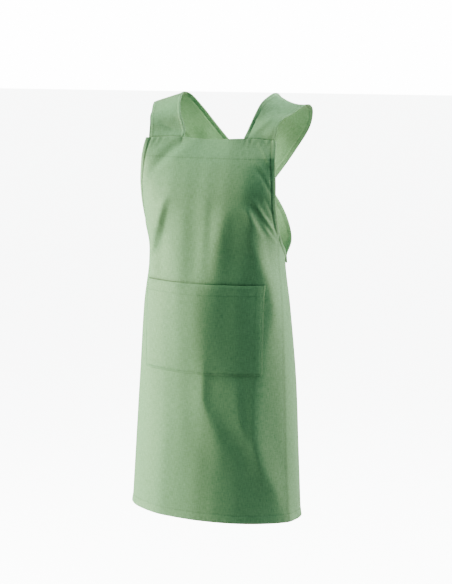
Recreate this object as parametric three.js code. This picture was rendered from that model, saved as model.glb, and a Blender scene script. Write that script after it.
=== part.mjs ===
// Cross-back kitchen apron of plain green cotton, in the shape it takes when worn.
// Millimetres, +Z up. The front faces -Y and +X is the wearer's left.
// The origin lies on the centre line, level with the shoulders that carry the straps.

import * as THREE from 'three';

// Cloth thicknesses, and the gaps between layers that are sewn together
const CLOTH = 1.3;
const HEM_CLOTH = 2.2;
const STRAP_CLOTH = 2.4;
const SEAM_GAP = 0.3;
const LAYER_GAP = 0.7;

// Heights of the main lines
const BIB_TOP_Z = -85;
const HEM_Z = -949;
const SEAM_TOP_Z = -293;

// Hem widths: along the bib top, round the armholes and back edges, along the bottom
const BIB_HEM = 42;
const EDGE_HEM = 12;
const BOTTOM_HEM = 20;
const HEM_STEP = 2;

// Patch pocket
const POCKET_HALF_WIDTH = 156;
const POCKET_CENTRE_U = 4;
const POCKET_MOUTH_Z = -406;
const POCKET_FOOT_Z = -611;
const POCKET_GAPE = 10;

// Strap ends: behind the bib top, and on the top edge of the opposite side panel
const STRAP_FRONT = { foot: -126, inner: 76, outer: 158 };
const STRAP_BACK = { foot: -367, top: -350, front: 266, rear: 376 };
const STRAP_CROSSING = { z: -196, lift: 7, reach: 160 };

// Sag of each strap across the shoulder, below a straight line from neck to arm edge
const STRAP_SAG = { left: 9, right: 0 };

// Rise of the bib top where the straps pull it up
const NECK_RISE = { u: 92, reach: 85, height: 3.5 };

// Grid counts of the walls
const FRONT_COLUMNS = 22;
const SKIRT_ROWS = 20;
const BIB_ROWS = 8;
const BIB_HEM_ROWS = 4;
const SIDE_COLUMNS = 10;
const POCKET_COLUMNS = 22;
const POCKET_ROWS = 10;
const STRAP_COLUMNS = 7;
const STRAP_STEPS = 2;

// Level sections of the worn apron: half width, y of the widest point, depth ahead of it
// and behind it, and squareness, where 2 is an ellipse and more is boxier
const SECTIONS = [
  { z: -60, halfWidth: 177, sideY: -46, front: 46, back: 112, squareness: 8.0 },
  { z: -85, halfWidth: 177, sideY: -48, front: 48, back: 118, squareness: 7.0 },
  { z: -140, halfWidth: 178, sideY: -62, front: 68, back: 140, squareness: 3.8 },
  { z: -200, halfWidth: 177, sideY: -74, front: 76, back: 150, squareness: 3.0 },
  { z: -270, halfWidth: 171, sideY: -70, front: 84, back: 130, squareness: 2.8 },
  { z: -345, halfWidth: 161, sideY: -63, front: 93, back: 102, squareness: 2.6 },
  { z: -470, halfWidth: 178, sideY: -64, front: 106, back: 110, squareness: 2.3 },
  { z: -640, halfWidth: 193, sideY: -62, front: 118, back: 130, squareness: 2.1 },
  { z: -800, halfWidth: 204, sideY: -66, front: 122, back: 127, squareness: 2.0 },
  { z: -949, halfWidth: 213, sideY: -70, front: 123, back: 122, squareness: 2.0 },
  { z: -990, halfWidth: 215, sideY: -71, front: 123, back: 120, squareness: 2.0 },
];

// Outlines on the cloth: u is the distance round the section from the centre front
const ARMHOLE = [
  { z: -85, u: 163 },
  { z: -130, u: 171 },
  { z: -180, u: 180 },
  { z: -235, u: 186 },
  { z: -265, u: 194 },
  { z: -293, u: 206 },
  { z: -315, u: 221 },
  { z: -335, u: 242 },
  { z: -352, u: 268 },
];
const SIDE_SEAM = [
  { z: -293, u: 206 },
  { z: -450, u: 212 },
  { z: -606, u: 217 },
  { z: -786, u: 223 },
  { z: -949, u: 231 },
];
const BACK_EDGE = [
  { z: -352, u: 378 },
  { z: -470, u: 404 },
  { z: -640, u: 424 },
  { z: -949, u: 440 },
];

// Folds and hollows: a line on the cloth, its half width, and its height outward
const FOLDS = [
  // Hollow of the neckline between the straps
  { u0: -60, z0: -78, u1: 60, z1: -78, halfWidth: 78, height: -11, taper: 0.5 },
  // Drape lines down the front, either side of the shaded middle
  { u0: 112, z0: -215, u1: 162, z1: -410, halfWidth: 46, height: 4, taper: 0.3 },
  { u0: 162, z0: -600, u1: 160, z1: -790, halfWidth: 44, height: 4, taper: 0.35 },
  { u0: 158, z0: -770, u1: 226, z1: -960, halfWidth: 40, height: 4, taper: 0.3 },
  { u0: 90, z0: -300, u1: 96, z1: -640, halfWidth: 62, height: -4, taper: 0.4 },
  { u0: 24, z0: -470, u1: 30, z1: -690, halfWidth: 50, height: 4, taper: 0.4 },
  { u0: 30, z0: -680, u1: 92, z1: -805, halfWidth: 38, height: 4, taper: 0.3 },
  { u0: 92, z0: -790, u1: 60, z1: -965, halfWidth: 44, height: 5, taper: 0.3 },
  { u0: 58, z0: -690, u1: 150, z1: -815, halfWidth: 32, height: -3.5, taper: 0.4 },
  { u0: 140, z0: -810, u1: 196, z1: -955, halfWidth: 36, height: -5, taper: 0.4 },
  { u0: -60, z0: -640, u1: -84, z1: -965, halfWidth: 62, height: 5, taper: 0.35 },
  { u0: -150, z0: -640, u1: -166, z1: -965, halfWidth: 52, height: -4, taper: 0.35 },
  // Pull lines from the bust to the foot of each armhole
  { u0: 116, z0: -196, u1: 176, z1: -268, halfWidth: 18, height: 3.5, taper: 0.4 },
  { u0: 128, z0: -226, u1: 196, z1: -306, halfWidth: 17, height: -3.5, taper: 0.4 },
  { u0: 128, z0: -252, u1: 222, z1: -340, halfWidth: 20, height: 3.5, taper: 0.4 },
  { u0: -104, z0: -210, u1: -164, z1: -282, halfWidth: 24, height: 2.5, taper: 0.5 },
  { u0: -116, z0: -248, u1: -176, z1: -320, halfWidth: 22, height: -2.5, taper: 0.5 },
  // Slack below the strap ends
  { u0: -74, z0: -92, u1: -128, z1: -142, halfWidth: 18, height: -3, taper: 0.4 },
  { u0: 130, z0: -120, u1: 176, z1: -200, halfWidth: 18, height: -3, taper: 0.4 },
];

// Left strap from the bib to the crossing and on to the right side panel:
// the neck-side edge, the arm-side edge, and the share of the shoulder sag between them
const STRAP_SECTIONS = [
  { neck: [77, -80, -70], arm: [161, -86, -70], slack: 0 },
  { neck: [84, -71, -50], arm: [162, -82, -54], slack: 0.1 },
  { neck: [92, -64, -30], arm: [168, -71, -38], slack: 0.3 },
  { neck: [101, -47, -4], arm: [179, -44, -27], slack: 0.6 },
  { neck: [109, -23, 10], arm: [190, -18, -13], slack: 0.9 },
  { neck: [114, 4, 17], arm: [198, 6, -7], slack: 1 },
  { neck: [111, 33, 10], arm: [196, 33, -18], slack: 1 },
  { neck: [94, 59, -21], arm: [179, 58, -57], slack: 0.7 },
  { neck: [58, 74, -72], arm: [138, 73, -112], slack: 0.3 },
  { neck: [10, 83, -128], arm: [76, 85, -184], slack: 0 },
  { neck: [-36, 87, -174], arm: [28, 88, -236], slack: 0 },
  { neck: [-82, 80, -222], arm: [-14, 82, -284], slack: 0 },
  { neck: [-120, 61, -270], arm: [-46, 68, -326], slack: 0 },
  { neck: [-148, 26, -318], arm: [-68, 55, -344], slack: 0 },
];

// Colour of the cotton: the straps and pocket come from the same cloth
const COTTON = new THREE.Color(0x8fb085);

// Value of one column of a table at height z, with smooth slopes through the rows
function columnAt(table, key, z) {
  const last = table.length - 1;
  let i = 0;
  while (i < last - 1 && z < table[i + 1].z) i += 1;
  const slope = (a, b) => (table[b][key] - table[a][key]) / (table[b].z - table[a].z);
  const step = table[i + 1].z - table[i].z;
  const t = (z - table[i].z) / step;
  const m0 = slope(Math.max(i - 1, 0), i + 1) * step;
  const m1 = slope(i, Math.min(i + 2, last)) * step;
  const v0 = table[i][key];
  const v1 = table[i + 1][key];
  const a = 2 * v0 - 2 * v1 + m0 + m1;
  const b = 3 * v1 - 3 * v0 - 2 * m0 - m1;
  return ((a * t + b) * t + m0) * t + v0;
}

// Half of the section at height z, walked from the centre front to the centre back
const SECTION_STEPS = 240;
const sectionCache = new Map();
function sectionAt(z) {
  const key = Math.round(z * 1000);
  if (sectionCache.has(key)) return sectionCache.get(key);
  const s = {};
  for (const name of ['halfWidth', 'sideY', 'front', 'back', 'squareness']) {
    s[name] = columnAt(SECTIONS, name, z);
  }
  const points = [];
  let run = 0;
  for (let i = 0; i <= SECTION_STEPS; i += 1) {
    const turn = (Math.PI * i) / SECTION_STEPS;
    const depth = turn < Math.PI / 2 ? s.front : s.back;
    const across = Math.abs(Math.sin(turn)) / s.halfWidth;
    const along = Math.abs(Math.cos(turn)) / depth;
    const radius = (across ** s.squareness + along ** s.squareness) ** (-1 / s.squareness);
    const x = radius * Math.sin(turn);
    const y = s.sideY - radius * Math.cos(turn);
    if (i > 0) run += Math.hypot(x - points[i - 1].x, y - points[i - 1].y);
    points.push({ x, y, run });
  }
  sectionCache.set(key, points);
  return points;
}

// Point of the smooth section at distance u from the centre front
function sectionPoint(u, z) {
  const points = sectionAt(z);
  const distance = Math.abs(u);
  let i = 1;
  while (i < points.length - 1 && points[i].run < distance) i += 1;
  const p = points[i - 1];
  const q = points[i];
  const t = (distance - p.run) / (q.run - p.run);
  const side = u < 0 ? -1 : 1;
  return { x: side * (p.x + (q.x - p.x) * t), y: p.y + (q.y - p.y) * t };
}

// Rise from 0 to 1 with level ends
function ease(t) {
  const c = Math.min(Math.max(t, 0), 1);
  return c * c * (3 - 2 * c);
}

// Height of the folds above the smooth section
function foldLift(u, z) {
  let lift = 0;
  for (const fold of FOLDS) {
    const du = fold.u1 - fold.u0;
    const dz = fold.z1 - fold.z0;
    const raw = ((u - fold.u0) * du + (z - fold.z0) * dz) / (du * du + dz * dz);
    const t = Math.min(Math.max(raw, 0), 1);
    const away = Math.hypot(u - fold.u0 - du * t, z - fold.z0 - dz * t) / fold.halfWidth;
    if (away >= 1) continue;
    const ends = ease(t / fold.taper + 0.15) * ease((1 - t) / fold.taper + 0.15);
    lift += fold.height * ends * Math.cos((away * Math.PI) / 2) ** 2;
  }
  return lift;
}

// Pull of the straps on the bib top, fading out below its hem
function neckRise(u, z) {
  const near = 1 - Math.abs(Math.abs(u) - NECK_RISE.u) / NECK_RISE.reach;
  return NECK_RISE.height * ease(near) * ease((z - BIB_TOP_Z) / BIB_HEM + 1);
}

// Point on the worn cloth, at a distance outward from its outer face
function clothPoint(u, z, outward) {
  const p = sectionPoint(u, z);
  const a = sectionPoint(u - 1, z);
  const b = sectionPoint(u + 1, z);
  const length = Math.hypot(b.x - a.x, b.y - a.y);
  const rise = foldLift(u, z) + outward;
  const nx = (b.y - a.y) / length;
  const ny = (a.x - b.x) / length;
  return new THREE.Vector3(p.x + nx * rise, p.y + ny * rise, z + neckRise(u, z));
}

// Numbers from a to b in equal steps, both ends included
function steps(a, b, count) {
  return Array.from({ length: count + 1 }, (_, i) => a + ((b - a) * i) / count);
}

// Closed wall between an outer and an inner grid of points laid out alike
function wall(outer, inner) {
  const rows = outer.length;
  const columns = outer[0].length;
  const points = [...outer.flat(), ...inner.flat()];
  const at = (face, i, j) => face * rows * columns + i * columns + j;
  const triangles = [];
  const quad = (a, b, c, d) => triangles.push([a, b, c], [a, c, d]);
  for (let i = 0; i < rows - 1; i += 1) {
    for (let j = 0; j < columns - 1; j += 1) {
      quad(at(0, i, j), at(0, i, j + 1), at(0, i + 1, j + 1), at(0, i + 1, j));
      quad(at(1, i + 1, j), at(1, i + 1, j + 1), at(1, i, j + 1), at(1, i, j));
    }
    quad(at(0, i + 1, 0), at(1, i + 1, 0), at(1, i, 0), at(0, i, 0));
    const k = columns - 1;
    quad(at(0, i, k), at(1, i, k), at(1, i + 1, k), at(0, i + 1, k));
  }
  for (let j = 0; j < columns - 1; j += 1) {
    quad(at(0, 0, j), at(1, 0, j), at(1, 0, j + 1), at(0, 0, j + 1));
    const k = rows - 1;
    quad(at(0, k, j + 1), at(1, k, j + 1), at(1, k, j), at(0, k, j));
  }
  const volume = triangles.reduce((sum, [a, b, c]) => {
    const cross = new THREE.Vector3().crossVectors(points[b], points[c]);
    return sum + points[a].dot(cross);
  }, 0);
  const index = triangles.flatMap(([a, b, c]) => (volume > 0 ? [a, b, c] : [a, c, b]));
  const geometry = new THREE.BufferGeometry();
  geometry.setFromPoints(points);
  geometry.setIndex(index);
  geometry.computeVertexNormals();
  return geometry;
}

// Edge of the front panel: the armhole above the seam, the side seam below it
function frontEdge(z) {
  if (z > SEAM_TOP_Z) return columnAt(ARMHOLE, 'u', z);
  return columnAt(SIDE_SEAM, 'u', z) - SEAM_GAP / 2;
}

// Heights of the skirt's rows up to a top edge, with the hem lines kept at their widths
function skirtHeights(top) {
  const hemLine = HEM_Z + BOTTOM_HEM;
  const rows = steps(hemLine, top - EDGE_HEM, SKIRT_ROWS);
  return [HEM_Z, hemLine - HEM_STEP, ...rows, top - EDGE_HEM + HEM_STEP, top];
}

// Front panel: bib and skirt in one piece
function frontPanel() {
  const hemLine = HEM_Z + BOTTOM_HEM;
  const bibLine = BIB_TOP_Z - BIB_HEM;
  const heights = [
    ...skirtHeights(SEAM_TOP_Z),
    ...steps(SEAM_TOP_Z, bibLine - HEM_STEP, BIB_ROWS).slice(1),
    ...steps(bibLine, BIB_TOP_Z, BIB_HEM_ROWS),
  ];
  const grid = (inside) => heights.map((z) => {
    const edge = frontEdge(z);
    const body = steps(-edge + EDGE_HEM, edge - EDGE_HEM, FRONT_COLUMNS);
    const hem = EDGE_HEM - HEM_STEP;
    const row = [-edge, -edge + hem, ...body, edge - hem, edge];
    return row.map((u) => {
      const folded = z < hemLine || z > bibLine - 1;
      const armhole = z > SEAM_TOP_Z && Math.abs(u) > edge - EDGE_HEM + 0.5;
      const depth = folded || armhole ? HEM_CLOTH : CLOTH;
      return clothPoint(u, z, inside ? -depth : 0);
    });
  });
  return wall(grid(false), grid(true));
}

// Height of a side panel's top edge at distance u from the centre front
function sideTop(u) {
  const foot = ARMHOLE[ARMHOLE.length - 1];
  if (u >= foot.u) return foot.z;
  const i = ARMHOLE.findIndex((row) => row.u > u);
  let low = ARMHOLE[i].z;
  let high = ARMHOLE[i - 1].z;
  for (let n = 0; n < 40; n += 1) {
    const middle = (low + high) / 2;
    if (columnAt(ARMHOLE, 'u', middle) > u) low = middle;
    else high = middle;
  }
  return (low + high) / 2;
}

// Side panel, from the side seam round to the free edge at the back
function sidePanel(side) {
  const hemLine = HEM_Z + BOTTOM_HEM;
  const fractions = [...steps(0, 0.93, SIDE_COLUMNS), 0.945, 1];
  const topFrom = columnAt(ARMHOLE, 'u', SEAM_TOP_Z);
  const topTo = BACK_EDGE[0].u;
  const columns = fractions.map((f) => {
    const top = sideTop(topFrom + (topTo - topFrom) * f);
    const heights = skirtHeights(top);
    return heights.map((z, i) => {
      const seam = columnAt(SIDE_SEAM, 'u', z) + SEAM_GAP / 2;
      const back = columnAt(BACK_EDGE, 'u', Math.min(z, BACK_EDGE[0].z));
      const hem = z < hemLine || i > heights.length - 3 || f > 0.94;
      return { u: side * (seam + (back - seam) * f), z, depth: hem ? HEM_CLOTH : CLOTH };
    });
  });
  const grid = (inside) => columns[0].map((_, i) => columns.map((column) => {
    const { u, z, depth } = column[i];
    return clothPoint(u, z, inside ? -depth : 0);
  }));
  return wall(grid(false), grid(true));
}

// Patch pocket: sewn flat at the sides and foot, its mouth standing a little open
function pocket() {
  const heights = steps(POCKET_FOOT_Z, POCKET_MOUTH_Z, POCKET_ROWS);
  const across = steps(-1, 1, POCKET_COLUMNS);
  const grid = (outside) => heights.map((z) => across.map((side) => {
    const u = POCKET_CENTRE_U + POCKET_HALF_WIDTH * side;
    const open = (z - POCKET_FOOT_Z) / (POCKET_MOUTH_Z - POCKET_FOOT_Z);
    const stand = LAYER_GAP + POCKET_GAPE * open * (1 - side ** 2);
    return clothPoint(u, z, stand + (outside ? CLOTH : 0));
  }));
  return wall(grid(true), grid(false));
}

// Strap middle surface: stations along the strap, each a row of points from neck to arm edge
function strapStations(side, over, sag) {
  const across = steps(0, 1, STRAP_COLUMNS);
  const between = (a, b, t) => a + (b - a) * t;
  const inside = -(HEM_CLOTH + LAYER_GAP + STRAP_CLOTH * 0.65);
  const outside = LAYER_GAP + STRAP_CLOTH * 0.65;
  const front = steps(STRAP_FRONT.foot, BIB_TOP_Z - 2, BIB_HEM_ROWS).map((z) => across.map((t) => (
    clothPoint(side * between(STRAP_FRONT.inner, STRAP_FRONT.outer, t), z, inside))));
  const free = STRAP_SECTIONS.map(({ neck, arm, slack }) => across.map((t) => {
    const p = new THREE.Vector3(...neck).lerp(new THREE.Vector3(...arm), t);
    const away = Math.hypot(p.x, p.z - STRAP_CROSSING.z) / STRAP_CROSSING.reach;
    const lift = over * STRAP_CROSSING.lift * ease(1.4 - 1.4 * away);
    p.z -= sag * slack * (1 - (2 * t - 1) ** 2);
    p.y += p.y > 0 ? lift : 0;
    p.x *= side;
    return p;
  }));
  const back = steps(STRAP_BACK.top, STRAP_BACK.foot, 2).map((z) => across.map((t) => (
    clothPoint(-side * between(STRAP_BACK.front, STRAP_BACK.rear, t), z, outside))));
  return { front, free, back };
}

// Strap: stations joined by smooth curves, then thickened both ways
function strap(side, over, sag) {
  const { front, free, back } = strapStations(side, over, sag);
  const stations = [...front, ...free, ...back];
  const curves = stations[0].map((_, j) => (
    new THREE.CatmullRomCurve3(stations.map((row) => row[j]), false, 'centripetal')));
  const count = (stations.length - 1) * STRAP_STEPS;
  const sheet = steps(0, 1, count).map((t) => curves.map((curve) => curve.getPoint(t)));
  const last = sheet.length - 1;
  const normalAt = (i, j) => {
    const columns = sheet[0].length - 1;
    const along = sheet[Math.min(i + 1, last)][j].clone().sub(sheet[Math.max(i - 1, 0)][j]);
    const right = sheet[i][Math.min(j + 1, columns)].clone();
    return along.cross(right.sub(sheet[i][Math.max(j - 1, 0)])).normalize();
  };
  const grid = (way) => sheet.map((row, i) => row.map((p, j) => (
    p.clone().addScaledVector(normalAt(i, j), (way * STRAP_CLOTH) / 2))));
  return wall(grid(1), grid(-1));
}

// Assembly
const apron = new THREE.Group();
apron.name = 'kitchen_apron';

function addPiece(name, geometry) {
  const material = new THREE.MeshStandardMaterial({ color: COTTON, roughness: 0.92, metalness: 0 });
  const mesh = new THREE.Mesh(geometry, material);
  mesh.name = name;
  apron.add(mesh);
}

addPiece('front_panel', frontPanel());
addPiece('side_panel_left', sidePanel(1));
addPiece('side_panel_right', sidePanel(-1));
addPiece('pocket', pocket());
addPiece('strap_left', strap(1, 1, STRAP_SAG.left));
addPiece('strap_right', strap(-1, 0, STRAP_SAG.right));

export default apron;
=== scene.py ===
"""Cross-back kitchen apron of plain green cotton, as it hangs when worn: sewn pieces and stitching.

Lengths in the tables are millimetres in the frame of the part: +Z up, the front faces -Y, and +X is
its left side as worn, by which the straps and side panels are named. A place on the cloth is (u, z):
u is the distance round the apron from the centre front, z the height. Folds, and the two sides of a
fold or the pocket, are named as the front is seen: left is towards -u and right towards +u.
"""

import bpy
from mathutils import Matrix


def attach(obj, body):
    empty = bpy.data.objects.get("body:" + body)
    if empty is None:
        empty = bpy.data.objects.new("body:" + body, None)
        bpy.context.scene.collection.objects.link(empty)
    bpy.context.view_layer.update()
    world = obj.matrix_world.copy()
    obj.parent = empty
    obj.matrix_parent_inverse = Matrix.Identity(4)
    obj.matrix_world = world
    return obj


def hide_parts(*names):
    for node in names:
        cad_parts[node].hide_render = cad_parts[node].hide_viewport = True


bl_info = {
    "name": "Kitchen apron",
    "version": (1, 0, 0),
    "blender": (4, 5, 0),
    "location": "3D View > Sidebar > Apron",
    "description": "Builds a sewn cotton apron, piece by piece, around its solid frame",
    "category": "Object",
}

import math

import bpy
import numpy as np
from mathutils import Vector

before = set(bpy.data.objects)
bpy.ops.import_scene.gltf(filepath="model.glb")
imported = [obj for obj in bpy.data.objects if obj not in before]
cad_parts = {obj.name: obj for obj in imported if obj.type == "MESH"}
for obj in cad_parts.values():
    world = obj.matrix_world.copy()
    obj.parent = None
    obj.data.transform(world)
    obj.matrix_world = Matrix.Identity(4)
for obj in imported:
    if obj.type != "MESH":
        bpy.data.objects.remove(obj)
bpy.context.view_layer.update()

MM = 0.001
BODY = "root"
UV_NAME = "cloth"
# Attribute of edges painted paler, partly wear and partly a painted highlight, less painted shade along
# seams and stitches
WEAR_AND_SHADING_NAME = "wear_and_painted_shading"


def table(columns, *rows):
    """A short table with named columns, one row for each section, outline point or fold point."""
    return np.array(list(rows), dtype=[(name, float) for name in columns.split()])


def fold(*rows):
    """A fold as a line down the cloth: height z and place u of its points, its reach to the left and
    right of the line, how far it stands out, and how round its crest is as a share of its reach."""
    return table("z u left right height crest", *rows)


def soft_fold(*rows):
    """Soft folds of a strap, each a line from (s0, t0) to (s1, t1): s along from its foot, t across."""
    return table("s0 t0 s1 t1 half_width height", *rows)


# Main lines of the apron, and the gap between layers that lie on each other
BIB_TOP_Z = -85
HEM_Z = -949
SEAM_TOP_Z = -293
LAYER_GAP = 0.7

# Patch pocket, measured on the cloth: its place, the radius of its lower corners, how clear of the
# panel its edges and its middle lie, and how its cloth thins towards its edges
POCKET_HALF_WIDTH = 156
POCKET_CENTRE_U = 4
POCKET_MOUTH_Z = -406
POCKET_FOOT_Z = -611
POCKET_CORNER = 8
POCKET_EDGE_GAP = 0.25
POCKET_STAND = 0.3
POCKET_THIN = {"share": 0.2, "width": 7}
# How far its mouth stands open, how squarely that ends on the left and right, and how much less it is
# on the right
POCKET_GAPE = {"depth": 4, "left": 10, "right": 4, "less": 0.5}
# Its turned edges stand out, and its stitches lie in a groove a few stitch insets from the edge
POCKET_TURN = {"height": 0.25, "rise": 3}
POCKET_GROOVE = {"insets": 3, "depth": 0.35, "width": 1.3}
POCKET_EDGE_LINES = np.array([0, 0.7, 1.8, 3.0, 3.9, 4.8, 5.7, 7.2, 10, 13.5, 16.5, 18, 19.5, 21, 24])

# How a turned hem stands out: its swell, the width of the step up to it, its curl towards the fold,
# the groove of its stitches and the puckers along them
HEM_RELIEF = {"swell": 0.2, "rise": 4, "curl": 0, "groove": 0.2, "groove_width": 1.3, "pucker": 0.06}
BOTTOM_RELIEF = HEM_RELIEF | {"curl": 2}
RAISED_RELIEF = HEM_RELIEF | {"curl": 1.6}
DROPPED_RELIEF = HEM_RELIEF | {"curl": -1.4}
ARMHOLE_RELIEF = {"swell": 1.2, "rise": 3, "curl": 1.8, "groove": 0.4, "groove_width": 2, "pucker": 0.2}
ROLLED_RELIEF = {"swell": 0.8, "rise": 3, "curl": 1.2, "groove": 1.2, "groove_width": 2.4, "pucker": 0.1}
# Where a hem is folded it rounds off: the width of that, and the share of its stand at the very edge
FOLD_ROUND = {"width": 2, "share": 0.4}
# Width over which the thicker cloth of a hem thins to a single layer
HEM_STEP = 1.6
# Puckers along a row of stitches: height, length for each radian and start of their waves, and how far
# they reach from the row. The shift keeps the two armholes from being alike
HEM_PUCKERS = ((1, 2.4, 0), (0.8, 3.9, 1.3))
POCKET_PUCKERS = ((0.12, 2.6, 0), (0.1, 4.1, 0.6))
PUCKER_REACH = 5
PUCKER_SHIFT = 7
# Lines of points that draw a hem: distances from its fold, over its swell, and from its stitches
FOLD_LINES = [0, 0.3, 1.3, 3.3]
SWELL_LINES = {"start": 6.5, "end": 4, "step": 3.4}
STITCH_LINES = (-3, -1.5, 0, 1.5, 3, 5)

# Rows of stitches: how far the thread stands out of its groove, the step between the points of a row,
# and how much wider than the bib's top and the pocket's foot row their hems' rows are
STITCH_LIFT = 0.15
ROW_STEP = 3.0
BIB_ROW_SPREAD = 1.04
POCKET_ROW_SPREAD = 1.02

# Side seam: its stitches' distance from the edge and their groove, how the front panel thins towards
# the edge, and how the armhole's hem fades out below the seam's top
SEAM = {"inset": 4.5, "groove": 0.25, "width": 1.2, "thin": 0.55, "taper": 8, "fade": 10, "overlap": 4}
# The side panel's lap under the front panel: distances from the seam, how deep the cloth lies at each,
# and how much deeper at the bottom hem
LAP = np.array([-7, -3, -0.6, 0.8, 2.2, 4.5, 8])
LAP_DROP = np.array([1.7, 1.4, 1.05, 0.7, 0.35, 0.1, 0])
LAP_AT_HEM = 0.75
# Width of a side panel that its lap and its back hem take up, and a distance at which an edge's hem
# no longer counts
SIDE_EDGES = 24
FAR = 40

# Painted shade in lines along seams, stitches, strap dents, sewn strap ends and the pocket mouth, for
# each kind of line, and the width of such a line
PAINTED_SHADE = {
    "top": 4, "seam": 2.6, "dent": 2, "sewn": 0.6, "armhole": 2, "stitches": 0.8, "mouth": 4,
    "mouth_stitches": 0.4, "pocket_edge": 1.8, "pocket_foot": 0.8,
}
PAINTED_SHADE_WIDTH = 2.2
# A strap's shade lies just below the bib top, on its first stretch
STRAP_SHADE = {"drop": 0.8, "run": 120}
# Distance below the mouth over which the shade of the pocket's sides sets in
POCKET_SHADE_FADE = 40
# Width of the paler line along a folded edge, partly wear and partly a painted highlight
WORN_AND_LIT_WIDTH = 3

# Strap ends, behind the bib top and on the top edge of the opposite side panel, with their rows of points
# and how far from the far end the last row of stitches lies
STRAP_FRONT = {"foot": -126, "top": -87, "rows": 5, "inner": 76, "outer": 158}
STRAP_BACK = {"top": -350, "foot": -367, "rows": 3, "front": 266, "rear": 376, "stitches": 5}
# Swell of a strap where it comes up from behind the bib: its start, rise and fall along the strap
STRAP_BULGE = {"start": 45, "rise": 6, "fall": 60, "height": 1.8}
# Place where the straps cross, and the lift of the upper one there
STRAP_CROSSING = {"z": -196, "lift": 7, "reach": 160, "steep": 1.4}
# Share of its thickness between a strap's middle and the layer under it, and the share of a strap's
# inner half that is left between its hems
STRAP_CLEAR = 0.65
STRAP_SINGLE = 0.6
# Sections over which a neck-side edge comes back from standing aside or forward
STRAP_ASIDE = 5
STRAP_FORWARD = {"rise": 2, "last": 9, "fall": 3}
# How fast a strap's soft fold sets in at its ends, and its share at the very end
STRAP_FOLD_ENDS = {"steep": 4, "share": 0.1}
# Part of a strap's rows of points that its stitches run over
STRAP_SEWN = slice(2, -2)

# Rise of the bib top where the straps pull it up, the dents of their edges, and the hollow between them
NECK_RISE = {"u": 92, "reach": 85, "height": 3.5}
STRAP_DENT = {"u": (-72, 91, 103), "depth": 1.2, "width": 3, "reach": 22}
NECK_HOLLOW = {"half_width": 60, "z": -78, "reach": 78, "depth": 4, "taper": 0.5, "start": 0.15}
# Puckers over the sewn strap ends, and how their lines wander down and across
SEWN_PUCKERS = {"u": 136, "half_width": 34, "reach": 24, "height": 0.45, "width": 17}
SEWN_WANDER = {"down": ((1.2, 4.3, 0),), "across": ((0.8, 11, 0),)}

# Faint lengthwise waves: widths of the narrow and the wide ones, the share of the wide ones, their height
# and what is added to it where they are strongest, the sway of the narrow and the lean of the wide
WAVES = {
    "narrow": 48, "wide": 95, "wide_share": 0.7, "height": 0.12, "added": 0.12, "z": -270, "reach": 100,
    "sway": 0.8, "sway_length": 88, "lean": 140, "start": 1.7,
}

# Samples round half a section, the farthest u that the cloth reaches, and samples of an armhole's edge
TURN_SAMPLES = 721
FARTHEST_U = 480
EDGE_SAMPLES = 200

# Offsets that keep the patterns of the pocket and the straps apart from the panels'
POCKET_CLOTH_U = 900
STRAP_CLOTH_U = {1: 2200, -1: 1800}

# Level sections of the worn apron: half width, y of the widest point, depth ahead of it
# and behind it, and squareness, where 2 is an ellipse and more is boxier
SECTIONS = table(
    "z half_width side_y front back squareness",
    (-60, 177, -46, 46, 112, 8.0),
    (-85, 177, -48, 48, 118, 7.0),
    (-140, 178, -62, 68, 140, 3.8),
    (-200, 177, -74, 76, 150, 3.0),
    (-270, 171, -70, 84, 130, 2.8),
    (-345, 161, -63, 93, 102, 2.6),
    (-470, 178, -64, 106, 110, 2.3),
    (-640, 193, -62, 118, 130, 2.1),
    (-800, 204, -66, 122, 127, 2.0),
    (-949, 213, -70, 123, 122, 2.0),
    (-990, 215, -71, 123, 120, 2.0),
)

# Outlines on the cloth
ARMHOLE = table(
    "z u",
    (-85, 163), (-130, 171), (-180, 180), (-235, 186), (-265, 194),
    (-293, 206), (-315, 221), (-335, 242), (-352, 268),
)
SIDE_SEAM = table("z u", (-293, 206), (-450, 212), (-606, 217), (-786, 223), (-949, 231))
BACK_EDGE = table("z u", (-352, 378), (-470, 404), (-640, 424), (-949, 440))

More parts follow.
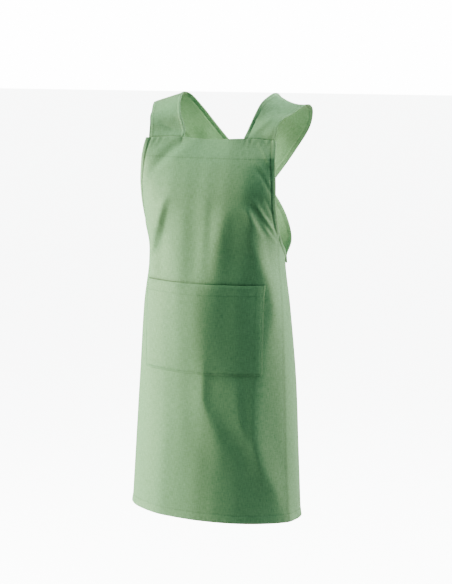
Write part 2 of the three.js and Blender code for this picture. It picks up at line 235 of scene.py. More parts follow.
# Folds of the worn cloth
FOLDS = {
    "chest swell": fold(
        (-60, 35, 150, 135, 6, 0.7), (-105, 45, 150, 125, 5.4, 0.7), (-150, 85, 130, 95, 3.2, 0.7),
        (-205, 95, 120, 80, 2.2, 0.7), (-245, 75, 110, 80, 1, 0.7), (-285, 62, 100, 70, 0, 0.7),
    ),
    "middle ridge": fold(
        (-205, 20, 40, 20, 0, 0.4), (-240, 17, 42, 20, 0.9, 0.4), (-300, 14, 42, 20, 1.1, 0.4),
        (-370, 10, 42, 22, 0.8, 0.4), (-415, 8, 42, 24, 0, 0.4),
    ),
    "right top hollow": fold(
        (-70, 130, 90, 55, -4.4, 0.5), (-105, 132, 90, 55, -4.8, 0.5), (-130, 138, 90, 50, -4, 0.5),
        (-155, 146, 80, 45, -1.4, 0.5), (-175, 150, 70, 45, 0, 0.5),
    ),
    "middle drape": fold(
        (-215, 86, 60, 50, 0, 0.4), (-245, 70, 58, 54, 3.6, 0.35), (-280, 59, 60, 62, 5.4, 0.3),
        (-310, 52, 60, 62, 5.5, 0.32), (-340, 45, 56, 60, 4.7, 0.38), (-396, 35, 56, 58, 3, 0.5),
        (-440, 30, 80, 60, 1.9, 0.5), (-500, 28, 80, 50, 1.8, 0.3), (-560, 27, 70, 45, 1.6, 0.15),
        (-614, 26, 60, 38, 2.9, 0.1), (-670, 26, 56, 34, 3.8, 0.12), (-712, 42, 56, 36, 3.4, 0.25),
        (-760, 60, 60, 42, 2.7, 0.4), (-800, 78, 60, 46, 1.4, 0.5), (-840, 92, 60, 46, 0, 0.5),
    ),
    "inner drape": fold(
        (-610, 100, 40, 25, 0, 0.3), (-645, 106, 42, 25, 2.5, 0.25), (-690, 109, 46, 24, 3.2, 0.2),
        (-726, 116, 48, 24, 3.4, 0.2), (-775, 130, 44, 24, 0, 0.3),
    ),
    "right drape": fold(
        (-222, 112, 40, 22, 0, 0.1), (-238, 118, 55, 24, 2, 0.1), (-254, 123, 60, 26, 3.4, 0.1),
        (-280, 125, 60, 30, 3.8, 0.1), (-310, 127, 60, 38, 4, 0.1), (-340, 138, 58, 42, 4.4, 0.12),
        (-370, 151, 54, 48, 5, 0.12), (-400, 167, 50, 54, 5.2, 0.12), (-430, 176, 40, 54, 5.8, 0.12),
        (-470, 182, 44, 52, 5.6, 0.14), (-510, 177, 50, 52, 4, 0.2), (-550, 166, 54, 54, 2.8, 0.3),
        (-600, 151, 44, 56, 2.8, 0.3), (-650, 143, 42, 55, 4.7, 0.25), (-720, 143, 42, 54, 7.2, 0.2),
        (-765, 148, 42, 54, 8.2, 0.2), (-800, 158, 44, 52, 7.6, 0.2), (-840, 174, 48, 50, 6.3, 0.2),
        (-880, 197, 52, 46, 4.4, 0.2), (-920, 213, 56, 42, 3.6, 0.2), (-990, 238, 58, 40, 3.6, 0.2),
    ),
    "right waist hollow": fold(
        (-206, 146, 26, 50, 0, 0.5), (-228, 150, 28, 55, -2, 0.5), (-254, 154, 30, 70, -4.2, 0.5),
        (-280, 161, 32, 90, -5, 0.5), (-310, 168, 33, 95, -4.8, 0.5), (-340, 174, 33, 95, -3.6, 0.5),
        (-370, 182, 32, 90, -2.2, 0.5), (-410, 194, 32, 80, 0, 0.5),
    ),
    "seam crease": fold(
        (-360, 208, 22, 26, 0, 0.06), (-430, 211, 22, 26, 0.5, 0.06), (-606, 217, 22, 26, 0.6, 0.06),
        (-760, 222, 22, 28, 0.9, 0.06), (-860, 226, 24, 30, 2, 0.06), (-949, 231, 24, 30, 2.2, 0.06),
        (-990, 233, 24, 30, 2.2, 0.06),
    ),
    "belly": fold(
        (-380, -10, 120, 90, 0, 0.7), (-440, -8, 125, 95, 5.4, 0.7), (-540, -6, 125, 95, 5.2, 0.7),
        (-640, -6, 120, 90, 0, 0.7),
    ),
    "left chest hollow": fold(
        (-110, -112, 45, 80, 0, 0.6), (-150, -120, 42, 82, -3.4, 0.6), (-185, -132, 42, 84, -3.6, 0.6),
        (-215, -150, 40, 84, -3.6, 0.6), (-250, -162, 40, 64, -2.6, 0.6), (-285, -172, 40, 50, 0, 0.6),
    ),
    "left pull ridge": fold(
        (-206, -84, 30, 18, 0, 0.3), (-228, -94, 36, 23, 1.8, 0.3), (-252, -102, 40, 24, 2.8, 0.3),
        (-284, -110, 42, 22, 3.4, 0.3), (-312, -125, 40, 22, 3.5, 0.3), (-342, -143, 36, 22, 2.7, 0.3),
        (-380, -162, 30, 22, 0, 0.3),
    ),
    "left waist hollow": fold(
        (-215, -74, 14, 20, 0, 0.5), (-238, -80, 16, 32, -1.4, 0.5), (-280, -90, 26, 52, -3.6, 0.5),
        (-315, -101, 42, 56, -4, 0.5), (-355, -105, 50, 60, -4.2, 0.5), (-398, -101, 52, 62, -3.4, 0.5),
        (-440, -98, 55, 66, -1.5, 0.5), (-480, -96, 55, 70, 0, 0.5),
    ),
    "lower left swell": fold(
        (-680, -78, 70, 60, 0, 0.6), (-780, -82, 70, 60, 1.6, 0.6), (-880, -88, 66, 60, 2, 0.6),
        (-990, -96, 62, 60, 2, 0.6),
    ),
    "right pull, upper ridge": fold(
        (-208, 126, 11, 14, 0, 0.12), (-220, 134, 11, 15, 1.8, 0.12), (-236, 145, 11, 12, 3.2, 0.12),
        (-250, 154, 11, 8, 3.6, 0.12), (-262, 164, 11, 6.5, 3.8, 0.12), (-280, 179, 10, 6.5, 3, 0.12),
        (-296, 192, 9, 7, 1.2, 0.12), (-308, 201, 9, 7, 0, 0.12),
    ),
    "right pull, middle ridge": fold(
        (-260, 147, 8, 8, 0, 0.15), (-276, 159, 8, 7, 1.7, 0.15), (-290, 170, 8, 7, 2, 0.15),
        (-304, 184, 8, 7, 1.6, 0.15), (-322, 203, 8, 8, 0, 0.15),
    ),
    "right pull, low ridge": fold(
        (-226, 117, 24, 10, 0, 0.12), (-242, 123, 24, 9, 2.4, 0.12), (-262, 132, 24, 10, 2.6, 0.12),
        (-286, 143, 22, 11, 1.6, 0.12), (-306, 150, 22, 13, 0.4, 0.15), (-322, 155, 22, 14, 0, 0.2),
    ),
    "right pull, inner line": fold(
        (-208, 157, 6, 6, 0, 0.3), (-220, 163, 6, 6, -1.2, 0.3), (-236, 171, 6, 6, -1.2, 0.3),
        (-254, 181, 6, 6, 0, 0.3),
    ),
    "right corner ridge": fold(
        (-80, 110, 7, 9, 0, 0.2), (-98, 129, 7, 9, 1.8, 0.2), (-112, 142, 7, 9, 2, 0.2),
        (-128, 154, 7, 8, 1.6, 0.2), (-146, 165, 7, 8, 0, 0.2),
    ),
    "right corner inner ridge": fold(
        (-118, 116, 7, 8, 0, 0.2), (-130, 128, 7, 8, 1.3, 0.2), (-146, 143, 7, 8, 1.3, 0.2),
        (-160, 154, 7, 8, 0, 0.2),
    ),
    "right corner valley": fold(
        (-138, 127, 10, 6, 0, 0.2), (-152, 138, 10, 6, -1.1, 0.2), (-166, 149, 10, 6, -1.5, 0.2),
        (-186, 162, 9, 6, -1.5, 0.2), (-200, 172, 8, 6, -0.8, 0.2), (-214, 178, 8, 6, 0, 0.2),
    ),
    "left corner valley": fold(
        (-72, -46, 26, 22, -1, 0.35), (-98, -75, 26, 24, -4.2, 0.35), (-120, -100, 26, 24, -4.6, 0.35),
        (-150, -129, 22, 22, -2.2, 0.4), (-176, -148, 18, 18, 0, 0.5),
    ),
    "left corner ridge": fold(
        (-70, -166, 16, 52, 6.8, 0.3), (-98, -167, 16, 50, 6.2, 0.3), (-114, -169, 16, 42, 4.2, 0.3),
        (-130, -171, 16, 34, 3.5, 0.3), (-165, -178, 16, 26, 2, 0.3), (-195, -182, 16, 20, 0, 0.3),
    ),
}

# Patterns of the cloth, the thread and the paper, in metres. Real yarns lie about 0.5 mm apart: they are
# drawn 1.5 mm apart so that they show close up. Thick places in a yarn are under a millimetre wide: they
# are drawn 1.6 mm wide. A ply of the thread turns every 0.4 mm: it is drawn every 0.8 mm
YARN = 0.0015
SLUB_WIDTH = 0.0016
SLUB_LENGTH = 0.012
FADE_SIZE = 0.15
PLY = 0.0008
PAPER_GRAIN = 0.0025
# Repeat of a wave texture at scale 1
WAVE_REPEAT = math.pi / 10

# Cotton: its deep shade and its painted shade as shares of the dye, the share of even dye over the
# slubs, the share of slubs that lie across, and how far the paler worn edges with their painted highlight
# and the painted shade show
COTTON = {"deep": 0.8, "painted_shade": 0.3, "even": 0.35, "weft": 0.42, "worn_and_lit_shows": 0.1, "painted_shade_shows": -0.2}
# Noise that shows as slubs, and noise that shows as fading with the most of that
SLUB_RANGE = {"From Min": 0.3, "From Max": 0.7}
FADE_RANGE = {"From Min": 0.35, "From Max": 0.65, "To Max": 0.06}
# Roughness of the ground and of the smoother slubs, then the bump of the slubs and the weave's share in it
COTTON_ROUGHNESS = {"To Min": 0.72, "To Max": 0.62}
COTTON_BUMP = {"Strength": 0.3, "Distance": 0.0004}
WEAVE_BUMP = 0.5
COTTON_LUSTRE = {"Specular IOR Level": 0.72, "IOR": 1.5, "Sheen Weight": 0.2, "Sheen Roughness": 0.5}
LUSTRE_TINT = "#FFF0CB"
SHEEN_TINT = "#FFF9DA"
# Thread and paper: their deep shade as a share of the colour, and the thread's finish
THREAD_DEEP = 0.7
THREAD_BUMP = {"Strength": 0.4, "Distance": 0.0001}
THREAD_LUSTRE = {"Roughness": 0.6, "Sheen Weight": 0.2, "Sheen Roughness": 0.4}
PAPER_DEEP = 0.97

# Left strap from the bib to the crossing and on to the right side panel:
# the neck-side edge, the arm-side edge, and the share of the shoulder sag between them
STRAP_SECTIONS = table(
    "neck_x neck_y neck_z arm_x arm_y arm_z slack",
    (77, -80, -70, 161, -86, -70, 0),
    (84, -71, -50, 162, -82, -54, 0.1),
    (92, -64, -30, 168, -71, -38, 0.3),
    (101, -47, -4, 179, -44, -27, 0.6),
    (109, -23, 10, 190, -18, -13, 0.9),
    (114, 4, 17, 198, 6, -7, 1),
    (111, 33, 10, 196, 33, -18, 1),
    (94, 59, -21, 179, 58, -57, 0.7),
    (58, 74, -72, 138, 73, -112, 0.3),
    (10, 83, -128, 76, 85, -184, 0),
    (-36, 87, -174, 28, 88, -236, 0),
    (-82, 80, -222, -14, 82, -284, 0),
    (-120, 61, -270, -46, 68, -326, 0),
    (-148, 26, -318, -68, 55, -344, 0),
)

# Each strap: the side of the bib it starts on, whether it passes over at the crossing, its sag, how far
# its neck-side edge stands aside at the bib and forward over the chest, the hems along its neck-side
# and arm-side edges, and its soft folds
STRAPS = {
    "strap_left": {
        "side": 1, "over": 1, "sag": 9, "aside": 9, "forward": 0,
        "neck_hem": ROLLED_RELIEF, "arm_hem": HEM_RELIEF,
        "folds": soft_fold(
            (48, 12, 112, 60, 15, 1.5), (70, 8, 150, 36, 16, -0.8), (40, 48, 84, 78, 14, 0.5),
            (300, 20, 420, 60, 26, 1.8), (420, 15, 560, 55, 24, -1.6),
        ),
    },
    "strap_right": {
        "side": -1, "over": 0, "sag": 0, "aside": -6, "forward": 7,
        "neck_hem": RAISED_RELIEF, "arm_hem": DROPPED_RELIEF,
        "folds": soft_fold(
            (86, 60, 64, 22, 11, -1.2), (46, 3, 110, 3, 16, 1.2), (90, 40, 160, 46, 16, -0.5),
            (300, 30, 420, 50, 26, 1.8), (430, 20, 560, 60, 24, -1.6),
        ),
    },
}


def from_hex(code):
    """Linear colour of an sRGB hex value."""
    parts = [int(code[i:i + 2], 16) / 255 for i in (1, 3, 5)]
    return [c / 12.92 if c <= 0.04045 else ((c + 0.055) / 1.055) ** 2.4 for c in parts]


def length_property(name, description, millimetres):
    """A length that a user may change, stored in metres."""
    return bpy.props.FloatProperty(name=name, description=description, default=millimetres * MM, min=0,
                                   precision=5, unit="LENGTH")


def colour_property(name, description, code):
    """A colour that a user may change."""
    return bpy.props.FloatVectorProperty(name=name, description=description, default=from_hex(code),
                                         min=0, max=1, size=3, subtype="COLOR")


class ApronSizes(bpy.types.PropertyGroup):
    """Sizes of the cloth, its hems and its stitching."""

    cloth: length_property("Cloth", "Thickness of one layer of cotton, drawn with its loft", 1.3)
    hem_cloth: length_property("Hem", "Thickness of a turned hem", 2.2)
    strap_cloth: length_property("Strap", "Thickness of a strap", 2.4)
    bib_hem: length_property("Bib hem", "Depth of the hem along the bib top", 42)
    edge_hem: length_property("Edge hem", "Width of the hems round the armholes and back edges", 12)
    bottom_hem: length_property("Bottom hem", "Depth of the hem along the bottom", 20)
    strap_hem: length_property("Strap hem", "Width of the hems along the straps", 10)
    pocket_hem: length_property("Pocket hem", "Depth of the hem at the pocket mouth", 26)
    pocket_turn: length_property("Pocket turning", "Width turned under at the pocket's sides and foot", 19)
    stitch_inset: length_property("Stitch inset", "Distance of stitches from a fold or a hem's edge", 1.6)
    stitch_pitch: length_property("Stitch pitch", "Distance from one stitch to the next", 3.0)
    stitch_length: length_property("Stitch length", "Length of thread that shows in one stitch", 2.5)
    stitch_width: length_property("Thread", "Thickness of the sewing thread", 0.55)
    spacing: length_property("Mesh spacing", "Largest distance between points of the cloth", 3.8)
    floor_drop: length_property("Floor", "Depth of the floor below the shoulders", 1400)


class ApronColours(bpy.types.PropertyGroup):
    """Colours of the cloth, the thread and the floor."""

    cotton: colour_property("Cotton", "Dyed cotton", "#7BAE83")
    slub: colour_property("Slub", "Thicker, paler yarns in the weave", "#8FC097")
    thread: colour_property("Thread", "Sewing thread", "#7AAA81")
    floor: colour_property("Floor", "Studio floor", "#D6D7D7")


def millimetres(sizes):
    """The sizes as plain numbers in millimetres."""
    return {name: getattr(sizes, name) / MM for name in ApronSizes.__annotations__}


def ease(t):
    """Rise from 0 to 1 with level ends."""
    c = np.clip(t, 0, 1)
    return c * c * (3 - 2 * c)


def ring(distance, half_width):
    """1 on a line, fading to 0 on both sides of it."""
    return np.exp(-(distance / half_width) ** 2)


def waves(run, parts):
    """Sum of a few sine waves along a line, each with its height, its length for a radian and its start."""
    return sum(height * np.sin(run / length + start) for height, length, start in parts)


def column_at(rows, column, z):
    """Value of one column of a table at heights z, with smooth slopes through the rows."""
    knots, values, last = rows["z"], rows[column], len(rows) - 1
    z = np.asarray(z, float)
    i = np.clip(np.searchsorted(-knots, -z, side="right") - 1, 0, last - 1)
    before, after = np.maximum(i - 1, 0), np.minimum(i + 2, last)
    step = knots[i + 1] - knots[i]
    t = (z - knots[i]) / step
    m0 = (values[i + 1] - values[before]) / (knots[i + 1] - knots[before]) * step
    m1 = (values[after] - values[i]) / (knots[after] - knots[i]) * step
    v0, v1 = values[i], values[i + 1]
    return (((2 * v0 - 2 * v1 + m0 + m1) * t + 3 * v1 - 3 * v0 - 2 * m0 - m1) * t + m0) * t + v0


def worn_sections():
    """x and y of the smooth worn shape, with a row for each millimetre of z and a column for each of u."""
    z = np.arange(SECTIONS["z"][-1], SECTIONS["z"][0] + 1)
    half_width, side_y, front, back, n = (
        column_at(SECTIONS, name, z)[:, None] for name in SECTIONS.dtype.names[1:]
    )
    turn = np.linspace(0, math.pi, TURN_SAMPLES)
    depth = np.where(turn < math.pi / 2, front, back)
    radius = ((np.sin(turn) / half_width) ** n + (np.abs(np.cos(turn)) / depth) ** n) ** (-1 / n)
    x, y = radius * np.sin(turn), side_y - radius * np.cos(turn)
    run = np.hypot(np.diff(x, axis=1), np.diff(y, axis=1)).cumsum(axis=1)
    run = np.pad(run, ((0, 0), (1, 0)))
    u = np.arange(FARTHEST_U)
    across = np.array([np.interp(u, r, row) for r, row in zip(run, x)])
    along = np.array([np.interp(u, r, row) for r, row in zip(run, y)])
    return z[0], across, along


LOWEST_Z, SECTION_X, SECTION_Y = worn_sections()


def section_point(u, z):
    """x and y of the smooth worn shape at places (u, z)."""
    row, column = z - LOWEST_Z, np.abs(u)
    i = np.clip(np.floor(row).astype(int), 0, SECTION_X.shape[0] - 2)
    j = np.clip(np.floor(column).astype(int), 0, SECTION_X.shape[1] - 2)
    s, t = row - i, column - j
    x, y = ((1 - s) * ((1 - t) * grid[i, j] + t * grid[i, j + 1])
            + s * ((1 - t) * grid[i + 1, j] + t * grid[i + 1, j + 1]) for grid in (SECTION_X, SECTION_Y))
    return np.sign(u) * x, y


def fold_height(rows, u, z):
    """Height of one fold at places (u, z): highest along its line, level where its reach ends."""
    inside = (z <= rows["z"][0]) & (z >= rows["z"][-1])
    line = column_at(rows, "u", z)
    slope = column_at(rows, "u", z + 1) - line
    away = (u - line) / np.sqrt(1 + slope ** 2)
    reach = np.where(away < 0, column_at(rows, "left", z), column_at(rows, "right", z))
    share = np.minimum(np.abs(away) / reach, 1)
    crest = column_at(rows, "crest", z)
    rounded = (np.sqrt(share ** 2 + crest ** 2) - crest) / (np.sqrt(1 + crest ** 2) - crest)
    return np.where(inside, column_at(rows, "height", z), 0) * (1 - rounded) ** 2


def neckline_hollow(u, z):
    """Hollow of the bib between the straps."""
    hollow = NECK_HOLLOW
    aside = np.clip(u, -hollow["half_width"], hollow["half_width"])
    away = np.minimum(np.hypot(u - aside, z - hollow["z"]) / hollow["reach"], 1)
    t = (aside / hollow["half_width"] + 1) / 2
    ends = ease(t / hollow["taper"] + hollow["start"]) * ease((1 - t) / hollow["taper"] + hollow["start"])
    return -hollow["depth"] * ends * np.cos(away * math.pi / 2) ** 2


def loose_waves(u, z):
    """Faint lengthwise unevenness of cloth that hangs loose, strongest on the lower bib."""
    strength = WAVES["height"] + WAVES["added"] * ring(z - WAVES["z"], WAVES["reach"])
    sway = WAVES["sway"] * np.sin(z / WAVES["sway_length"])
    narrow = np.sin(2 * math.pi * u / WAVES["narrow"] + sway)
    wide = np.sin(2 * math.pi * u / WAVES["wide"] + z / WAVES["lean"] + WAVES["start"])
    return strength * (narrow + WAVES["wide_share"] * wide)


def fold_lift(u, z):
    """Height of the folds above the smooth shape."""
    lift = neckline_hollow(u, z) + loose_waves(u, z)
    for rows in FOLDS.values():
        lift = lift + fold_height(rows, u, z)
    return lift


def neck_rise(u, z, bib_hem):
    """Pull of the straps on the bib top, fading out below its hem."""
    near = 1 - np.abs(np.abs(u) - NECK_RISE["u"]) / NECK_RISE["reach"]
    return NECK_RISE["height"] * ease(near) * ease((z - BIB_TOP_Z) / bib_hem + 1)


def cloth_point(u, z, outward, size):
    """Points on the worn cloth, at a distance outward from its outer face."""
    u, z, outward = np.broadcast_arrays(*(np.asarray(a, float) for a in (u, z, outward)))
    x, y = section_point(u, z)
    x0, y0 = section_point(u - 1, z)
    x1, y1 = section_point(u + 1, z)
    rise = (fold_lift(u, z) + outward) / np.hypot(x1 - x0, y1 - y0)
    return np.stack([x + (y1 - y0) * rise, y + (x0 - x1) * rise, z + neck_rise(u, z, size["bib_hem"])], -1)


def hem_relief(from_edge, width, run, size, relief):
    """Step up to a turned hem, its curl, the groove of its stitches and the puckers along them."""
    line = from_edge - (width - size["stitch_inset"])
    swell = relief["swell"] * ease(0.5 - line / relief["rise"])
    stand = swell + relief["curl"] * np.clip(-line / width, 0, 1)
    groove = relief["groove"] * ring(line, relief["groove_width"])
    puckers = relief["pucker"] * waves(run, HEM_PUCKERS) * ring(line, PUCKER_REACH)
    return stand * ease(from_edge / FOLD_ROUND["width"] + FOLD_ROUND["share"]) - groove + puckers


def stitch_shade(from_edge, width, size):
    """Shade in the groove of a hem's stitches."""
    return PAINTED_SHADE["stitches"] * ring(from_edge - width + size["stitch_inset"], PAINTED_SHADE_WIDTH / 2)


def strap_dents(u, z):
    """Dents that the strap edges press into the bib top: 1 on each, fading out below."""
    pressed = sum(ring(u - at, STRAP_DENT["width"]) for at in STRAP_DENT["u"])
    return pressed * ease((z - BIB_TOP_Z) / STRAP_DENT["reach"] + 1)


def sewn_ends(u, z):
    """Where the strap ends are sewn on behind the bib top: 1 at the top, fading out below and aside."""
    near = ring(np.abs(u) - SEWN_PUCKERS["u"], SEWN_PUCKERS["half_width"])
    return near * ease((z - BIB_TOP_Z) / SEWN_PUCKERS["reach"] + 1)


def sewn_puckers(u, z):
    """Small puckers over the sewn strap ends."""
    wander = waves(z, SEWN_WANDER["down"]) + waves(u, SEWN_WANDER["across"])
    lines = np.sin(2 * math.pi * u / SEWN_PUCKERS["width"] + wander)
    return SEWN_PUCKERS["height"] * sewn_ends(u, z) * lines


def hem_share(from_edge, width):
    """How much a place belongs to a hem: 1 in the hem, 0 on the single cloth."""
    return ease((width + HEM_STEP / 2 - from_edge) / HEM_STEP)


def cloth_depth(hem, size):
    """Thickness of the cloth where a share of it belongs to a hem."""
    return size["cloth"] + (size["hem_cloth"] - size["cloth"]) * hem


def hem_steps(width, inset):
    """Distances from an edge that draw a hem: its fold, its swell and the groove of its stitches."""
    line = width - inset
    swell = list(np.arange(SWELL_LINES["start"], line - SWELL_LINES["end"], SWELL_LINES["step"]))
    return np.array(FOLD_LINES + swell + [line + d for d in STITCH_LINES])


def row_places(start, end, first, last):
    """Places along a row of stitches, which leaves a little free at its first and its last end."""
    return np.arange(start + first, end - last, ROW_STEP)


def between(start, end, low_steps, high_steps, spacing):
    """Places along a span whose ends have steps of given widths and whose middle is even."""
    low, high = start + low_steps, end - high_steps[::-1]
    count = max(2, math.ceil((high[0] - low[-1]) / spacing))
    middle = np.linspace(low[-1], high[0], count + 1)[1:-1]
    return np.concatenate([low, middle, high])


def front_edge(z):
    """Edge of the front panel: the armhole above the seam, the side seam below it."""
    return np.where(z > SEAM_TOP_Z, column_at(ARMHOLE, "u", z), column_at(SIDE_SEAM, "u", z))


def front_panel(size):
    """Front panel, bib and skirt in one: outer and inner grids, cloth coordinates, worn edges with a painted
    highlight and painted shade, and stitch rows.
    """
    inset, edge_hem = size["stitch_inset"], size["edge_hem"]
    bib_hem, bottom_hem = size["bib_hem"], size["bottom_hem"]
    steps, low_steps, high_steps = (hem_steps(hem, inset) for hem in (edge_hem, bottom_hem, bib_hem))
    heights = between(HEM_Z, BIB_TOP_Z, low_steps, high_steps, size["spacing"])
    widest, top_edge = front_edge(np.array(HEM_Z)), front_edge(np.array(BIB_TOP_Z))
    count = math.ceil(2 * (widest - steps[-1]) / size["spacing"])
    share = np.linspace(-1, 1, count + 1)[1:-1]

    def relief(u, z):
        from_edge = front_edge(z) - np.abs(u)
        armhole = ease((z - SEAM_TOP_Z) / SEAM["fade"] + 1)
        run = z + PUCKER_SHIFT * np.sign(u)
        lift = armhole * hem_relief(from_edge, edge_hem, run, size, ARMHOLE_RELIEF)
        lift = lift - (1 - armhole) * SEAM["groove"] * ring(from_edge - SEAM["inset"], SEAM["width"])
        lift = lift + hem_relief(z - HEM_Z, bottom_hem, u, size, BOTTOM_RELIEF)
        lift = lift + hem_relief(BIB_TOP_Z - z, bib_hem, u, size, HEM_RELIEF)
        return lift - STRAP_DENT["depth"] * strap_dents(u, z) + sewn_puckers(u, z)

    z = heights[:, None]
    edge = front_edge(z)
    u = np.concatenate([-edge + steps, share * (edge - steps[-1]), edge - steps[::-1]], axis=1)
    z = np.broadcast_to(z, u.shape)
    from_edge, from_hem, from_top = edge - np.abs(u), z - HEM_Z, BIB_TOP_Z - z
    lift = relief(u, z)
    armhole = hem_share(from_edge, edge_hem) * (z > SEAM_TOP_Z - SEAM["overlap"])
    hem = np.maximum.reduce([armhole, hem_share(from_hem, bottom_hem), hem_share(from_top, bib_hem)])
    seam = z < SEAM_TOP_Z
    depth = cloth_depth(hem, size) * (1 - SEAM["thin"] * seam * (1 - ease(from_edge / SEAM["taper"])))
    # Edges painted paler, partly wear and partly a painted highlight
    worn_and_lit = ring(np.minimum.reduce([from_edge, from_hem, from_top]), WORN_AND_LIT_WIDTH)
    pocket_sides = ease(np.abs(u) / POCKET_HALF_WIDTH) * (np.abs(u - POCKET_CENTRE_U) < POCKET_HALF_WIDTH)
    # Painted shade along the side seam, the strap dents and sewn strap ends, behind the pocket mouth, and in
    # the hem and armhole stitches
    painted_shade = (
        PAINTED_SHADE["seam"] * ring(from_edge, PAINTED_SHADE_WIDTH) * seam
        + PAINTED_SHADE["dent"] * strap_dents(u, z) + PAINTED_SHADE["sewn"] * sewn_ends(u, z)
        + PAINTED_SHADE["mouth"] * ring(z - POCKET_MOUTH_Z, PAINTED_SHADE_WIDTH) * pocket_sides
        + stitch_shade(from_hem, bottom_hem, size) + stitch_shade(from_top, bib_hem, size)
        + PAINTED_SHADE["armhole"] * ring(from_edge - edge_hem + inset, PAINTED_SHADE_WIDTH) * (z > SEAM_TOP_Z)
    )
    lines = [
        (row_places(-widest, widest, 2, 1), HEM_Z + bottom_hem - inset),
        (row_places(-top_edge, top_edge, 3, 2) * BIB_ROW_SPREAD, BIB_TOP_Z - bib_hem + inset),
    ]
    down, skirt = row_places(SEAM_TOP_Z, BIB_TOP_Z, 2, 2), row_places(HEM_Z, SEAM_TOP_Z, 3, 2)
    for side in (-1, 1):
        lines.append((side * (front_edge(down) - edge_hem + inset), down))
        lines.append((side * (front_edge(skirt) - SEAM["inset"]), skirt))
    return {
        "outer": cloth_point(u, z, lift, size), "inner": cloth_point(u, z, lift - depth, size),
        "cloth": (u, z), "wear_and_painted_shading": worn_and_lit - painted_shade,
        "rows": [cloth_point(at, level, relief(at, level) + STITCH_LIFT, size) for at, level in lines],
    }


def side_top(u):
    """Height of a side panel's top edge at distance u from the centre front."""
    z = np.linspace(SEAM_TOP_Z, ARMHOLE["z"][-1], EDGE_SAMPLES)
    return np.interp(u, column_at(ARMHOLE, "u", z), z)


def back_edge(z):
    """Free edge of a side panel at the back."""
    return column_at(BACK_EDGE, "u", np.minimum(z, BACK_EDGE["z"][0]))


def side_panel(size, side):
    """Side panel, lapped under the front panel at the seam and free at the back."""
    inset, edge_hem, bottom_hem = (size[k] for k in ("stitch_inset", "edge_hem", "bottom_hem"))
    steps, low_steps = hem_steps(edge_hem, inset), hem_steps(bottom_hem, inset)
    top_from, top_to = SIDE_SEAM["u"][0], BACK_EDGE["u"][0]
    low_from, low_to = SIDE_SEAM["u"][-1], BACK_EDGE["u"][-1]
    count = math.ceil((low_to - low_from - SIDE_EDGES) / size["spacing"])
    share = np.linspace(0, 1, count + 1)[1:-1]

    def columns(seam, back):
        seam, back = np.atleast_1d(seam)[..., None], np.atleast_1d(back)[..., None]
        low, high = seam + LAP[-1], back - steps[-1]
        return np.concatenate([seam + LAP, low + (high - low) * share, back - steps[::-1]], axis=-1)

    def relief(u, z, from_top, from_back):
        return (hem_relief(z - HEM_Z, bottom_hem, u, size, BOTTOM_RELIEF)
                + hem_relief(from_top, edge_hem, u, size, ARMHOLE_RELIEF)
                + hem_relief(from_back, edge_hem, z, size, ARMHOLE_RELIEF))

    tops = side_top(columns(top_from, top_to)[0])
    mean = between(HEM_Z, tops.mean(), low_steps, steps, size["spacing"])
    count = len(mean) - len(low_steps) - len(steps)
    even = np.linspace(0, 1, count + 2)[1:-1, None]
    low, high = HEM_Z + low_steps[-1], tops - steps[-1]
    z = np.concatenate([
        np.broadcast_to(HEM_Z + low_steps[:, None], (len(low_steps), len(tops))),
        low + (high - low) * even, tops - steps[::-1, None],
    ])
    places = [columns(column_at(SIDE_SEAM, "u", level), back_edge(level))[:, j]
              for j, level in enumerate(z.T)]
    u = np.stack(places, axis=1)
    from_hem, from_top, from_back = z - HEM_Z, tops - z, back_edge(z) - u
    hems = ((from_hem, bottom_hem), (from_top, edge_hem), (from_back, edge_hem))
    lift = relief(u, z, from_top, from_back)
    lapped = slice(0, len(LAP))
    lift[:, lapped] -= LAP_DROP * (1 + LAP_AT_HEM * hem_share(from_hem, bottom_hem)[:, lapped])
    depth = cloth_depth(np.maximum.reduce([hem_share(*hem) for hem in hems]), size)
    # Edges painted paler, partly wear and partly a painted highlight
    worn_and_lit = ring(np.minimum.reduce([from_hem, from_top, from_back]), WORN_AND_LIT_WIDTH)
    # Painted shade in the grooves of the hem stitches
    painted_shade = sum(stitch_shade(*hem, size) for hem in hems)
    line = edge_hem - inset
    top, back = row_places(top_from, top_to, 4, 2), row_places(HEM_Z, BACK_EDGE["z"][0], 3, 3)
    lines = [
        (row_places(low_from, low_to, 4, 2), HEM_Z + bottom_hem - inset, FAR, FAR),
        (top, side_top(top) - line, line, FAR),
        (back_edge(back) - line, back, FAR, line),
    ]
    return {
        "outer": cloth_point(side * u, z, lift, size), "inner": cloth_point(side * u, z, lift - depth, size),
        "cloth": (side * u, z), "wear_and_painted_shading": worn_and_lit - painted_shade,
        "rows": [cloth_point(side * at, level, relief(at, level, *clear) + STITCH_LIFT, size)
                 for at, level, *clear in lines],
    }


